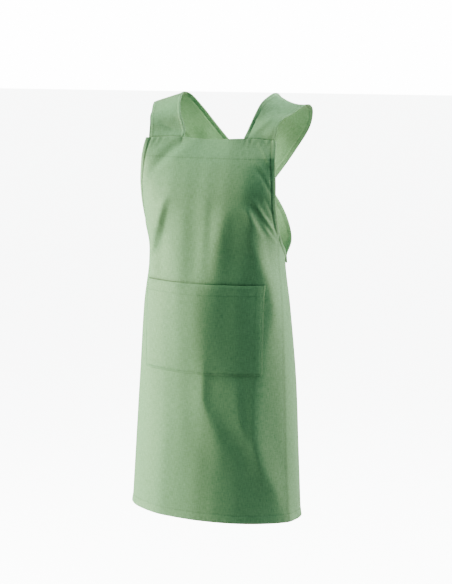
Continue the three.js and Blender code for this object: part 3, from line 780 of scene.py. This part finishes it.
def pocket(size):
    """Patch pocket: sewn flat at the sides and foot, its mouth standing a little open."""
    inset, mouth_hem, turn = (size[k] for k in ("stitch_inset", "pocket_hem", "pocket_turn"))
    sewn = POCKET_GROOVE["insets"] * inset
    steps, mouth_steps = POCKET_EDGE_LINES, hem_steps(mouth_hem, inset)
    heights = between(POCKET_FOOT_Z, POCKET_MOUTH_Z, steps, mouth_steps, size["spacing"])
    across = between(-POCKET_HALF_WIDTH, POCKET_HALF_WIDTH, steps, steps, size["spacing"])

    def stand(u, z):
        height = (z - POCKET_FOOT_Z) / (POCKET_MOUTH_Z - POCKET_FOOT_Z)
        edge = np.minimum(POCKET_HALF_WIDTH - np.abs(u), z - POCKET_FOOT_Z)
        share = u / POCKET_HALF_WIDTH
        ends = 1 - share ** np.where(u < 0, POCKET_GAPE["left"], POCKET_GAPE["right"])
        gape = POCKET_GAPE["depth"] * height * ends * (1 - POCKET_GAPE["less"] * ease(share))
        return POCKET_EDGE_GAP + POCKET_STAND * ease(edge / turn) + gape

    def relief(u, z):
        from_side, from_foot = POCKET_HALF_WIDTH - np.abs(u), z - POCKET_FOOT_Z
        edge = np.minimum(from_side, from_foot)
        run = np.where(from_side < from_foot, z, u)
        rise = POCKET_TURN["rise"]
        turned = POCKET_TURN["height"] * ease((turn - edge) / rise + 0.5) * ease(edge / rise)
        puckers = waves(run, POCKET_PUCKERS) * ring(edge - sewn, PUCKER_REACH)
        groove = puckers - POCKET_GROOVE["depth"] * ring(edge - sewn, POCKET_GROOVE["width"])
        return turned + groove + hem_relief(POCKET_MOUTH_Z - z, mouth_hem, u, size, HEM_RELIEF)

    z = heights[:, None]
    up = np.clip(POCKET_CORNER - (z - POCKET_FOOT_Z), 0, POCKET_CORNER)
    cut = POCKET_CORNER - np.sqrt(POCKET_CORNER ** 2 - up ** 2)
    flat = np.broadcast_to(across, (len(heights), len(across)))
    z = np.broadcast_to(z, flat.shape)
    from_side, from_foot = POCKET_HALF_WIDTH - np.abs(flat), z - POCKET_FOOT_Z
    from_mouth = POCKET_MOUTH_Z - z
    u = POCKET_CENTRE_U + flat * (1 - cut / POCKET_HALF_WIDTH)
    base = stand(flat, z)
    edges = np.minimum.reduce([from_side, from_foot, from_mouth])
    thin = POCKET_THIN["share"] + (1 - POCKET_THIN["share"]) * ease(edges / POCKET_THIN["width"])
    # Painted shade along the stitches, the side edges below the mouth and the foot
    painted_shade = (
        stitch_shade(np.minimum(from_side, from_foot), sewn + inset, size)
        + PAINTED_SHADE["mouth_stitches"] * stitch_shade(from_mouth, mouth_hem, size)
        + PAINTED_SHADE["pocket_edge"] * ring(from_side, PAINTED_SHADE_WIDTH) * ease(from_mouth / POCKET_SHADE_FADE)
        + PAINTED_SHADE["pocket_foot"] * ring(from_foot, PAINTED_SHADE_WIDTH)
    )
    side = POCKET_HALF_WIDTH - sewn
    down, along = row_places(POCKET_FOOT_Z, POCKET_MOUTH_Z, sewn, 1), row_places(-side, side, 0, 0)
    lines = [
        (-side, down), (side, down), (along, POCKET_FOOT_Z + sewn),
        (along * POCKET_ROW_SPREAD, POCKET_MOUTH_Z - mouth_hem + inset),
    ]
    rows = []
    for at, level in lines:
        outward = stand(at, level) + size["cloth"] + relief(at, level) + STITCH_LIFT
        rows.append(cloth_point(POCKET_CENTRE_U + at, level, outward, size))
    # The mouth's edge is painted paler, partly wear and partly a painted highlight
    return {
        "outer": cloth_point(u, z, base + size["cloth"] * thin + relief(flat, z), size),
        "inner": cloth_point(u, z, base, size),
        "cloth": (u + POCKET_CLOTH_U, z), "wear_and_painted_shading": ring(from_mouth, WORN_AND_LIT_WIDTH) - painted_shade, "rows": rows,
    }


def smooth_curve(points, shares):
    """Points of a centripetal curve through rows of points, at shares counted in rows."""
    before, after = 2 * points[:1] - points[1:2], 2 * points[-1:] - points[-2:-1]
    p = np.concatenate([before, points, after])
    i = np.clip(np.floor(shares).astype(int), 0, len(points) - 2)
    t = (shares - i)[:, None, None]
    gaps = np.sqrt(np.linalg.norm(np.diff(p, axis=0), axis=-1, keepdims=True))
    p0, p1, p2, p3 = (p[i + k] for k in range(4))
    d0, d1, d2 = (gaps[i + k] for k in range(3))
    m1 = ((p1 - p0) / d0 - (p2 - p0) / (d0 + d1) + (p2 - p1) / d1) * d1
    m2 = ((p2 - p1) / d1 - (p3 - p1) / (d1 + d2) + (p3 - p2) / d2) * d1
    return p1 + t * (m1 + t * (3 * (p2 - p1) - 2 * m1 - m2 + t * (2 * (p1 - p2) + m1 + m2)))


def strap_stations(size, form, across):
    """Rows of points across a strap's middle surface, from its foot behind the bib to its far end."""
    side, aside = form["side"], form["aside"]
    clear = LAYER_GAP + size["strap_cloth"] * STRAP_CLEAR
    inner = STRAP_FRONT["inner"] + aside
    front_u = side * (inner + (STRAP_FRONT["outer"] - inner) * across)
    front_z = np.linspace(STRAP_FRONT["foot"], STRAP_FRONT["top"], STRAP_FRONT["rows"])[:, None]
    front = cloth_point(front_u, front_z, -(size["hem_cloth"] + clear), size)
    neck, arm = (
        np.stack([STRAP_SECTIONS[f"{edge}_{axis}"] for axis in "xyz"], -1) for edge in ("neck", "arm")
    )
    station = np.arange(len(STRAP_SECTIONS))
    neck[:, 0] += aside * np.clip(1 - station / STRAP_ASIDE, 0, 1)
    risen = ease(station / STRAP_FORWARD["rise"])
    fallen = ease((STRAP_FORWARD["last"] - station) / STRAP_FORWARD["fall"])
    neck[:, 1] -= form["forward"] * risen * fallen
    free = neck[:, None] + (arm - neck)[:, None] * across[:, None]
    away = np.hypot(free[..., 0], free[..., 2] - STRAP_CROSSING["z"]) / STRAP_CROSSING["reach"]
    lift = form["over"] * STRAP_CROSSING["lift"] * ease(STRAP_CROSSING["steep"] * (1 - away))
    free[..., 2] -= form["sag"] * STRAP_SECTIONS["slack"][:, None] * (1 - (2 * across - 1) ** 2)
    free[..., 1] += np.where(free[..., 1] > 0, lift, 0)
    free[..., 0] *= side
    back_u = -side * (STRAP_BACK["front"] + (STRAP_BACK["rear"] - STRAP_BACK["front"]) * across)
    back_z = np.linspace(STRAP_BACK["top"], STRAP_BACK["foot"], STRAP_BACK["rows"])[:, None]
    return np.concatenate([front, free, cloth_point(back_u, back_z, clear, size)])


def soft_lift(folds, run, at):
    """Height of a strap's soft folds at places run along it and at across it."""
    lift = 0
    for line in folds:
        ds, dt = line["s1"] - line["s0"], line["t1"] - line["t0"]
        share = np.clip(((run - line["s0"]) * ds + (at - line["t0"]) * dt) / (ds * ds + dt * dt), 0, 1)
        away = np.hypot(run - line["s0"] - ds * share, at - line["t0"] - dt * share) / line["half_width"]
        steep, start = STRAP_FOLD_ENDS["steep"], STRAP_FOLD_ENDS["share"]
        ends = ease(steep * share + start) * ease(steep * (1 - share) + start)
        lift = lift + line["height"] * ends * np.cos(np.minimum(away, 1) * math.pi / 2) ** 2
    return lift


def strap(size, form):
    """Strap with a hem along both edges, from behind the bib over the shoulder to the other side panel."""
    side, hem = form["side"], size["strap_hem"]
    width = STRAP_FRONT["outer"] - STRAP_FRONT["inner"]
    steps = hem_steps(hem, size["stitch_inset"])
    across = between(0, width, steps, steps, size["spacing"]) / width
    centre = len(across) // 2
    stations = strap_stations(size, form, across)
    spans = np.linalg.norm(np.diff(stations[:, centre], axis=0), axis=1)
    counts = [math.ceil(span / size["spacing"]) for span in spans]
    shares = [i + np.linspace(0, 1, count, endpoint=False) for i, count in enumerate(counts)]
    sheet = smooth_curve(stations, np.concatenate(shares + [[len(spans)]]))
    run = np.linalg.norm(np.diff(sheet[:, centre], axis=0), axis=1).cumsum()
    run = np.concatenate([[0], run])[:, None]
    normal = np.cross(np.gradient(sheet, axis=1), np.gradient(sheet, axis=0)) * side
    normal /= np.linalg.norm(normal, axis=-1, keepdims=True)
    at = across * width
    edge = np.minimum(at, width - at)
    risen = (run - STRAP_BULGE["start"]) / STRAP_BULGE["rise"]
    fallen = (run - STRAP_BULGE["start"] - STRAP_BULGE["rise"]) / STRAP_BULGE["fall"]
    lift = (
        hem_relief(at, hem, run, size, form["neck_hem"])
        + hem_relief(width - at, hem, run, size, form["arm_hem"])
        + STRAP_BULGE["height"] * ease(risen) * (1 - ease(fallen)) + soft_lift(form["folds"], run, at)
    )
    half = size["strap_cloth"] / 2
    single = half * (STRAP_SINGLE + (1 - STRAP_SINGLE) * hem_share(edge, hem))
    outer, inner, thread = (
        sheet + normal * (lift + outward)[..., None] for outward in (half, -single, half + STITCH_LIFT)
    )
    # Painted shade in a line just below the bib top, where the strap comes out from behind it, and in its
    # stitch grooves
    rise = neck_rise(side * (STRAP_FRONT["inner"] + at), np.full(at.shape, BIB_TOP_Z), size["bib_hem"])
    below = BIB_TOP_Z + rise - STRAP_SHADE["drop"] - outer[..., 2]
    painted_shade = PAINTED_SHADE["top"] * ring(below, PAINTED_SHADE_WIDTH) * (run < STRAP_SHADE["run"])
    painted_shade = painted_shade + stitch_shade(edge, hem, size)
    line = hem - size["stitch_inset"]
    rows = [thread[STRAP_SEWN, np.argmin(np.abs(at - d))] for d in (line, width - line)]
    end = np.argmin(np.abs(run[:, 0] - run[-1, 0] + STRAP_BACK["stitches"]))
    rows.append(thread[end, STRAP_SEWN])
    # Strap edges painted paler, partly wear and partly a painted highlight
    return {
        "outer": outer, "inner": inner, "cloth": np.broadcast_arrays(at + STRAP_CLOTH_U[side], run),
        "wear_and_painted_shading": ring(edge, WORN_AND_LIT_WIDTH) - painted_shade, "rows": rows,
    }


def wall_faces(rows, columns):
    """Quads of a closed wall: outer grid, inner grid, and a rounded rim between their edges."""
    at = np.arange(rows * columns).reshape(rows, columns)
    outer = np.stack([at[:-1, :-1], at[:-1, 1:], at[1:, 1:], at[1:, :-1]], -1).reshape(-1, 4)
    inner = outer[:, ::-1] + rows * columns
    border = np.concatenate([at[0, :-1], at[:-1, -1], at[-1, :0:-1], at[:0:-1, 0]])
    following = np.roll(border, -1)
    rim = 2 * rows * columns + np.arange(len(border))
    rim_following = np.roll(rim, -1)
    half = rows * columns
    edges = [np.stack([following, border, rim, rim_following], -1),
             np.stack([rim_following, rim, border + half, following + half], -1)]
    return np.concatenate([outer, inner, *edges]), border


# How far a rim bulges past the edges of its wall, as a share of the thickness
RIM_ROUND = 0.4


def cloth_mesh(name, made):
    """Mesh object of one sewn piece, with its cloth coordinates in metres, its paler worn edges with a
    painted highlight, and its painted shade.
    """
    outer, inner = made["outer"] * MM, made["inner"] * MM
    rows, columns = outer.shape[:2]
    faces, border = wall_faces(rows, columns)
    i, j = np.divmod(border, columns)
    within = outer[np.clip(i, 1, rows - 2), np.clip(j, 1, columns - 2)]
    edge_outer, edge_inner = outer[i, j], inner[i, j]
    outward = edge_outer - within
    outward /= np.linalg.norm(outward, axis=-1, keepdims=True)
    thickness = np.linalg.norm(edge_outer - edge_inner, axis=-1, keepdims=True)
    rim = (edge_outer + edge_inner) / 2 + outward * thickness * RIM_ROUND
    points = np.concatenate([outer.reshape(-1, 3), inner.reshape(-1, 3), rim])
    a, b, c, d = (points[faces[:, k]] for k in range(4))
    if np.einsum("ij,ij->", a, np.cross(b, c)) + np.einsum("ij,ij->", a, np.cross(c, d)) < 0:
        faces = faces[:, ::-1]
    mesh = bpy.data.meshes.new(name)
    mesh.from_pydata(points.tolist(), [], faces.tolist())
    if mesh.validate():
        raise RuntimeError(f"{name}: the cloth mesh has bad faces")
    flat = np.stack(made["cloth"], -1).reshape(-1, 2) * MM
    flat = np.concatenate([flat, flat, flat[border]])
    corners = np.empty(len(mesh.loops), np.int32)
    mesh.loops.foreach_get("vertex_index", corners)
    mesh.uv_layers.new(name=UV_NAME).uv.foreach_set("vector", flat[corners].ravel().astype(np.float32))
    # Paler worn edges with a painted highlight, less painted shade, for each point of the wall
    wear_and_painted_shading = made["wear_and_painted_shading"].ravel()
    wear_and_painted_shading = np.concatenate([wear_and_painted_shading, wear_and_painted_shading, wear_and_painted_shading[border]]).astype(np.float32)
    mesh.attributes.new(WEAR_AND_SHADING_NAME, "FLOAT", "POINT").data.foreach_set("value", wear_and_painted_shading)
    mesh.shade_smooth()
    piece = bpy.data.objects.new(name, mesh)
    bpy.context.scene.collection.objects.link(piece)
    return piece


def add_node(tree, kind, inputs=None, **settings):
    """Adds one node, sets its settings, and fills or links its inputs."""
    node = tree.nodes.new(kind)
    for name, value in settings.items():
        setattr(node, name, value)
    for name, value in (inputs or {}).items():
        if isinstance(value, bpy.types.NodeSocket):
            tree.links.new(value, node.inputs[name])
        else:
            node.inputs[name].default_value = value
    return node


# Inputs of the stitch nodes, the ball that each stitch is drawn out from, how uneven the stitches are,
# and the seed of that
STITCH_INPUTS = {
    "Geometry": "NodeSocketGeometry", "Pitch": "NodeSocketFloat", "Length": "NodeSocketFloat",
    "Width": "NodeSocketFloat", "Seed": "NodeSocketInt", "Thread": "NodeSocketMaterial",
}
STITCH_BALL = {"Segments": 6, "Rings": 4, "Radius": 0.5}
STITCH_UNEVEN = {2: 0.88, 3: 1.08}
STITCH_SEED = 7


def stitch_tree():
    """Geometry nodes that lay one small thread capsule for each stitch along the edges of a mesh."""
    name = "stitch_row"
    if name in bpy.data.node_groups:
        return bpy.data.node_groups[name]
    tree = bpy.data.node_groups.new(name, "GeometryNodeTree")
    for label, kind in STITCH_INPUTS.items():
        tree.interface.new_socket(label, in_out="INPUT", socket_type=kind)
    tree.interface.new_socket("Geometry", in_out="OUTPUT", socket_type="NodeSocketGeometry")
    given = add_node(tree, "NodeGroupInput").outputs
    path = add_node(tree, "GeometryNodeMeshToCurve", {"Mesh": given["Geometry"]}).outputs[0]
    spaced = add_node(tree, "GeometryNodeResampleCurve", {"Curve": path, "Length": given["Pitch"]},
                      mode="LENGTH").outputs[0]
    tangent = add_node(tree, "GeometryNodeInputTangent").outputs[0]
    turned = add_node(tree, "FunctionNodeAlignRotationToVector", {"Vector": tangent}, axis="X").outputs[0]
    ball = add_node(tree, "GeometryNodeMeshUVSphere", STITCH_BALL).outputs[0]
    drawn_out = add_node(tree, "ShaderNodeCombineXYZ", {
        "X": given["Length"], "Y": given["Width"], "Z": given["Width"],
    }).outputs[0]
    capsule = add_node(tree, "GeometryNodeTransform", {"Geometry": ball, "Scale": drawn_out}).outputs[0]
    uneven = add_node(tree, "FunctionNodeRandomValue", {"Seed": given["Seed"], **STITCH_UNEVEN},
                      data_type="FLOAT").outputs[1]
    laid = add_node(tree, "GeometryNodeInstanceOnPoints", {
        "Points": spaced, "Instance": capsule, "Rotation": turned, "Scale": uneven,
    }).outputs[0]
    real = add_node(tree, "GeometryNodeRealizeInstances", {"Geometry": laid}).outputs[0]
    smooth = add_node(tree, "GeometryNodeSetShadeSmooth", {"Geometry": real}).outputs[0]
    dyed = add_node(tree, "GeometryNodeSetMaterial", {"Geometry": smooth, "Material": given["Thread"]})
    add_node(tree, "NodeGroupOutput", {"Geometry": dyed.outputs[0]})
    return tree


def stitching(name, rows, size, thread):
    """Stitches along rows of points, as one plain mesh object."""
    edges, start = [], 0
    for row in rows:
        edges.extend((i, i + 1) for i in range(start, start + len(row) - 1))
        start += len(row)
    lines = bpy.data.meshes.new(name)
    lines.from_pydata((np.concatenate(rows) * MM).tolist(), edges, [])
    piece = bpy.data.objects.new(name, lines)
    tree = stitch_tree()
    modifier = piece.modifiers.new("stitches", "NODES")
    modifier.node_group = tree
    values = {
        "Pitch": size["stitch_pitch"] * MM, "Length": size["stitch_length"] * MM,
        "Width": size["stitch_width"] * MM, "Seed": STITCH_SEED, "Thread": thread,
    }
    sockets = {item.name: item.identifier for item in tree.interface.items_tree if item.in_out == "INPUT"}
    for label, value in values.items():
        modifier[sockets[label]] = value
    bpy.context.scene.collection.objects.link(piece)
    evaluated = piece.evaluated_get(bpy.context.evaluated_depsgraph_get())
    stitches = bpy.data.meshes.new_from_object(evaluated)
    piece.modifiers.remove(modifier)
    piece.data = stitches
    bpy.data.meshes.remove(lines)
    stitches.name = name
    if not stitches.polygons:
        raise RuntimeError(f"{name}: no stitches were laid")
    return piece


def blank_tree(block):
    """Node tree of a new material or world, cleared."""
    block.use_nodes = True
    block.node_tree.nodes.clear()
    return block.node_tree


def tone(colour, share=1):
    """A colour at a share of its brightness, as a node input takes it."""
    return (*[c * share for c in colour], 1)


def woven_cotton(colours):
    """Piece-dyed plain-weave cotton: matt, with a soft warm lustre of waxy fibres where light strikes it
    full on, thick yarns that show as faint long streaks, mostly down the cloth, folded edges a little
    paler, partly from wear and partly as a painted highlight, and painted shade in lines along seams,
    stitches, the bib top and the pocket mouth."""
    material = bpy.data.materials.new("woven_cotton")
    tree = blank_tree(material)
    cloth = add_node(tree, "ShaderNodeUVMap", uv_map=UV_NAME).outputs[0]
    yarns, slubs = [], []
    for axis, width, length in (("X", SLUB_WIDTH, SLUB_LENGTH), ("Y", SLUB_LENGTH, SLUB_WIDTH)):
        yarns.append(add_node(tree, "ShaderNodeTexWave", {"Vector": cloth, "Scale": WAVE_REPEAT / YARN},
                              bands_direction=axis).outputs["Fac"])
        drawn_out = add_node(tree, "ShaderNodeMapping", {
            "Vector": cloth, "Scale": (1 / width, 1 / length, 1),
        }).outputs[0]
        slubs.append(add_node(tree, "ShaderNodeTexNoise", {"Vector": drawn_out, "Scale": 1.0, "Detail": 2.0},
                              noise_dimensions="2D").outputs["Fac"])
    weave = add_node(tree, "ShaderNodeMath", {0: yarns[0], 1: yarns[1]}, operation="MULTIPLY").outputs[0]
    slub = add_node(tree, "ShaderNodeMix", {0: COTTON["weft"], 2: slubs[0], 3: slubs[1]}).outputs[0]
    slub = add_node(tree, "ShaderNodeMapRange", {"Value": slub, **SLUB_RANGE}).outputs[0]
    fade = add_node(tree, "ShaderNodeTexNoise", {"Vector": cloth, "Scale": 1 / FADE_SIZE, "Detail": 2.0},
                    noise_dimensions="2D").outputs["Fac"]
    fade = add_node(tree, "ShaderNodeMapRange", {"Value": fade, **FADE_RANGE}).outputs[0]
    # Edges painted paler, partly wear and partly a painted highlight, and lines of painted shade
    wear_and_painted_shading = add_node(tree, "ShaderNodeAttribute", attribute_name=WEAR_AND_SHADING_NAME).outputs["Fac"]
    worn_and_lit, painted_shade = (
        add_node(tree, "ShaderNodeMath", {0: wear_and_painted_shading, 1: shows}, operation="MULTIPLY",
                 use_clamp=True).outputs[0]
        for shows in (COTTON["worn_and_lit_shows"], COTTON["painted_shade_shows"])
    )
    deep, pale = tone(colours.cotton, COTTON["deep"]), tone(colours.slub)
    colour = deep
    for share, other in (
        (slub, pale), (COTTON["even"], tone(colours.cotton)), (fade, deep), (worn_and_lit, pale),
        (painted_shade, tone(colours.cotton, COTTON["painted_shade"])),
    ):
        mixed = add_node(tree, "ShaderNodeMix", {0: share, 6: colour, 7: other}, data_type="RGBA")
        colour = mixed.outputs[2]
    rough = add_node(tree, "ShaderNodeMapRange", {"Value": slub, **COTTON_ROUGHNESS}).outputs[0]
    height = add_node(tree, "ShaderNodeMath", {0: weave, 1: WEAVE_BUMP, 2: slub},
                      operation="MULTIPLY_ADD").outputs[0]
    bump = add_node(tree, "ShaderNodeBump", {"Height": height, **COTTON_BUMP}).outputs[0]
    shader = add_node(tree, "ShaderNodeBsdfPrincipled", {
        "Base Color": colour, "Roughness": rough, "Normal": bump, **COTTON_LUSTRE,
        "Specular Tint": tone(from_hex(LUSTRE_TINT)), "Sheen Tint": tone(from_hex(SHEEN_TINT)),
    })
    add_node(tree, "ShaderNodeOutputMaterial", {"Surface": shader.outputs[0]})
    return material


def sewing_thread(colours):
    """Spun cotton-polyester thread: a shade off the cloth, twisted in two plies that catch a little more
    light."""
    material = bpy.data.materials.new("sewing_thread")
    tree = blank_tree(material)
    place = add_node(tree, "ShaderNodeTexCoord").outputs["Object"]
    ply = add_node(tree, "ShaderNodeTexWave", {"Vector": place, "Scale": WAVE_REPEAT / PLY},
                   bands_direction="DIAGONAL").outputs["Fac"]
    deep, pale = tone(colours.thread, THREAD_DEEP), tone(colours.thread)
    colour = add_node(tree, "ShaderNodeMix", {0: ply, 6: deep, 7: pale}, data_type="RGBA").outputs[2]
    bump = add_node(tree, "ShaderNodeBump", {"Height": ply, **THREAD_BUMP}).outputs[0]
    shader = add_node(tree, "ShaderNodeBsdfPrincipled", {
        "Base Color": colour, "Normal": bump, **THREAD_LUSTRE,
    })
    add_node(tree, "ShaderNodeOutputMaterial", {"Surface": shader.outputs[0]})
    return material


def shared_material(context, maker):
    """A material that several pieces wear, made once."""
    return bpy.data.materials.get(maker.__name__) or maker(context.scene.apron_colours)


def add_piece(context, node, made, size):
    piece = cloth_mesh(f"{node}_cloth", made)
    piece.data.materials.append(shared_material(context, woven_cotton))
    thread = shared_material(context, sewing_thread)
    stitches = stitching(f"{node}_stitching", made["rows"], size, thread)
    for part in (piece, stitches):
        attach(part, BODY)
    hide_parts(node)


class APRON_OT_front_panel(bpy.types.Operator):
    """Cuts and sews the front panel, bib and skirt in one"""

    bl_idname = "apron.front_panel"
    bl_label = "Front panel"

    def execute(self, context):
        size = millimetres(context.scene.apron_sizes)
        add_piece(context, "front_panel", front_panel(size), size)
        return {"FINISHED"}


class APRON_OT_side_panels(bpy.types.Operator):
    """Cuts and sews the two side panels"""

    bl_idname = "apron.side_panels"
    bl_label = "Side panels"

    def execute(self, context):
        size = millimetres(context.scene.apron_sizes)
        for node, side in (("side_panel_left", 1), ("side_panel_right", -1)):
            add_piece(context, node, side_panel(size, side), size)
        return {"FINISHED"}


class APRON_OT_pocket(bpy.types.Operator):
    """Cuts and sews the patch pocket"""

    bl_idname = "apron.pocket"
    bl_label = "Pocket"

    def execute(self, context):
        size = millimetres(context.scene.apron_sizes)
        add_piece(context, "pocket", pocket(size), size)
        return {"FINISHED"}


class APRON_OT_straps(bpy.types.Operator):
    """Cuts and sews the two straps that cross at the back"""

    bl_idname = "apron.straps"
    bl_label = "Straps"

    def execute(self, context):
        size = millimetres(context.scene.apron_sizes)
        for node, form in STRAPS.items():
            add_piece(context, node, strap(size, form), size)
        return {"FINISHED"}


# Camera: its eye and the point it looks at in metres, its lens and its frame in millimetres, and how far
# it sees in metres
CAMERA_EYE = Vector((1.723, -3.441, 0.141))
CAMERA_AIM = Vector((0.015, -0.045, -0.4405))
CAMERA_LENS = 102.2
CAMERA_FRAME = 36
CAMERA_SIGHT = 200

# Soft boxes: azimuth from the front towards +X and elevation in degrees, sides in metres, watts, and colour
LIGHT_AIM = Vector((0, -0.06, -0.45))
LIGHT_DISTANCE = 2.6
WARM, PINK, WHITE, COOL = (1, 0.985, 0.9), (1, 0.89, 0.88), (1, 1, 1), (0.91, 1, 1)
LIGHTS = {
    "key_softbox": {"azimuth": -69, "elevation": 6, "sides": (0.9, 1.9), "power": 110, "colour": WARM},
    "right_softbox": {"azimuth": 95, "elevation": 35, "sides": (0.8, 1.3), "power": 28, "colour": WHITE},
    "rear_right_softbox": {
        "azimuth": 122, "elevation": 6, "sides": (0.8, 1.6), "power": 32.4, "colour": PINK,
    },
    "rear_softbox": {"azimuth": 158, "elevation": 35, "sides": (0.8, 1.3), "power": 24, "colour": WHITE},
    "overhead_softbox": {"azimuth": 0, "elevation": 88, "sides": (1.6, 1.6), "power": 33, "colour": COOL},
}

# Red response of the film, as light and how it shows: deeper in the shade, fuller in the middle tones
RED_RESPONSE = (
    (0.05, 0.042), (0.086, 0.078), (0.12, 0.118), (0.165, 0.174), (0.25, 0.256), (0.37, 0.367), (0.5, 0.5),
)

# Brightness of the surroundings as seen, which light nothing, and the reach of the floor in metres
SEEN_WHITE = 4.3
FLOOR_REACH = 40


def direction(azimuth, elevation):
    """Unit vector towards an azimuth and elevation in degrees."""
    a, e = math.radians(azimuth), math.radians(elevation)
    return Vector((math.sin(a) * math.cos(e), -math.cos(a) * math.cos(e), math.sin(e)))


def studio_paper(colours):
    """Matt white paper: it shows near white to the eye and throws little light back on the cloth."""
    material = bpy.data.materials.new("studio_paper")
    tree = blank_tree(material)
    place = add_node(tree, "ShaderNodeTexCoord").outputs["Object"]
    grain = add_node(tree, "ShaderNodeTexNoise", {
        "Vector": place, "Scale": 1 / PAPER_GRAIN, "Detail": 2.0,
    }).outputs["Fac"]
    deep, pale = tone(colours.floor, PAPER_DEEP), tone(colours.floor)
    colour = add_node(tree, "ShaderNodeMix", {0: grain, 6: deep, 7: pale}, data_type="RGBA").outputs[2]
    paper = add_node(tree, "ShaderNodeBsdfDiffuse", {"Color": colour}).outputs[0]
    glow = add_node(tree, "ShaderNodeEmission", {"Color": colour, "Strength": SEEN_WHITE}).outputs[0]
    lit = add_node(tree, "ShaderNodeAddShader", {0: paper, 1: glow}).outputs[0]
    seen = add_node(tree, "ShaderNodeLightPath").outputs["Is Camera Ray"]
    mixed = add_node(tree, "ShaderNodeMixShader", {0: seen, 1: paper, 2: lit}).outputs[0]
    add_node(tree, "ShaderNodeOutputMaterial", {"Surface": mixed})
    return material


def studio_world():
    """Even white surroundings for the eye, which throw no light on the cloth."""
    world = bpy.data.worlds.new("studio")
    tree = blank_tree(world)
    seen = add_node(tree, "ShaderNodeLightPath").outputs["Is Camera Ray"]
    strength = add_node(tree, "ShaderNodeMapRange", {"Value": seen, "To Max": SEEN_WHITE}).outputs[0]
    background = add_node(tree, "ShaderNodeBackground", {"Color": tone(WHITE), "Strength": strength})
    add_node(tree, "ShaderNodeOutputWorld", {"Surface": background.outputs[0]})
    return world


def lay_floor(context):
    """Plain floor, a stage for the apron and no part of it."""
    z, far = -context.scene.apron_sizes.floor_drop, FLOOR_REACH
    corners = [(-far, -far, z), (far, -far, z), (far, far, z), (-far, far, z)]
    mesh = bpy.data.meshes.new("floor")
    mesh.from_pydata(corners, [], [(0, 1, 2, 3)])
    mesh.materials.append(shared_material(context, studio_paper))
    floor = bpy.data.objects.new("floor", mesh)
    context.scene.collection.objects.link(floor)


def hang_lights(scene):
    """Soft boxes round the apron, and the white surroundings."""
    for name, light in LIGHTS.items():
        data = bpy.data.lights.new(name, "AREA")
        data.shape = "RECTANGLE"
        data.size, data.size_y = light["sides"]
        data.energy = light["power"]
        data.color = light["colour"]
        away = direction(light["azimuth"], light["elevation"])
        lamp = bpy.data.objects.new(name, data)
        lamp.location = LIGHT_AIM + away * LIGHT_DISTANCE
        lamp.rotation_euler = away.to_track_quat("Z", "Y").to_euler()
        scene.collection.objects.link(lamp)
    scene.world = studio_world()


def load_film(view):
    """Contrast of the picture, and its response to red."""
    view.view_transform = "AgX"
    view.look = "AgX - High Contrast"
    view.use_curve_mapping = True
    curves = view.curve_mapping
    curves.use_clip = False
    curves.extend = "EXTRAPOLATED"
    for light, shown in RED_RESPONSE:
        curves.curves[0].points.new(light, shown)
    curves.update()


def aim_camera(scene):
    """Camera in front of the apron and to its left, a little above the shoulders."""
    data = bpy.data.cameras.new("camera")
    data.lens = CAMERA_LENS
    data.sensor_width = CAMERA_FRAME
    data.clip_end = CAMERA_SIGHT
    camera = bpy.data.objects.new("camera", data)
    camera.location = CAMERA_EYE
    camera.rotation_euler = (CAMERA_AIM - CAMERA_EYE).to_track_quat("-Z", "Y").to_euler()
    scene.collection.objects.link(camera)
    scene.camera = camera


class APRON_OT_stage(bpy.types.Operator):
    """Sets up the floor, the soft studio light and the camera"""

    bl_idname = "apron.stage"
    bl_label = "Stage"

    def execute(self, context):
        lay_floor(context)
        hang_lights(context.scene)
        load_film(context.scene.view_settings)
        aim_camera(context.scene)
        return {"FINISHED"}


PIECE_OPERATORS = (
    APRON_OT_front_panel, APRON_OT_side_panels, APRON_OT_pocket, APRON_OT_straps, APRON_OT_stage,
)


class APRON_PT_panel(bpy.types.Panel):
    """Lists the apron's sizes, colours and pieces"""

    bl_idname = "APRON_PT_panel"
    bl_label = "Kitchen apron"
    bl_space_type = "VIEW_3D"
    bl_region_type = "UI"
    bl_category = "Apron"

    def draw(self, context):
        for group in (context.scene.apron_sizes, context.scene.apron_colours):
            column = self.layout.column(align=True)
            for name in type(group).__annotations__:
                column.prop(group, name)
        for operator in PIECE_OPERATORS:
            self.layout.operator(operator.bl_idname)


CLASSES = (ApronSizes, ApronColours, *PIECE_OPERATORS, APRON_PT_panel)


def register():
    for cls in CLASSES:
        bpy.utils.register_class(cls)
    bpy.types.Scene.apron_sizes = bpy.props.PointerProperty(type=ApronSizes)
    bpy.types.Scene.apron_colours = bpy.props.PointerProperty(type=ApronColours)


def unregister():
    del bpy.types.Scene.apron_colours
    del bpy.types.Scene.apron_sizes
    for cls in reversed(CLASSES):
        bpy.utils.unregister_class(cls)


def main():
    """Registers the add-on, and builds the apron and its stage."""
    register()
    bpy.ops.apron.front_panel()
    bpy.ops.apron.side_panels()
    bpy.ops.apron.pocket()
    bpy.ops.apron.straps()
    bpy.ops.apron.stage()


if __name__ == "__main__":
    main()
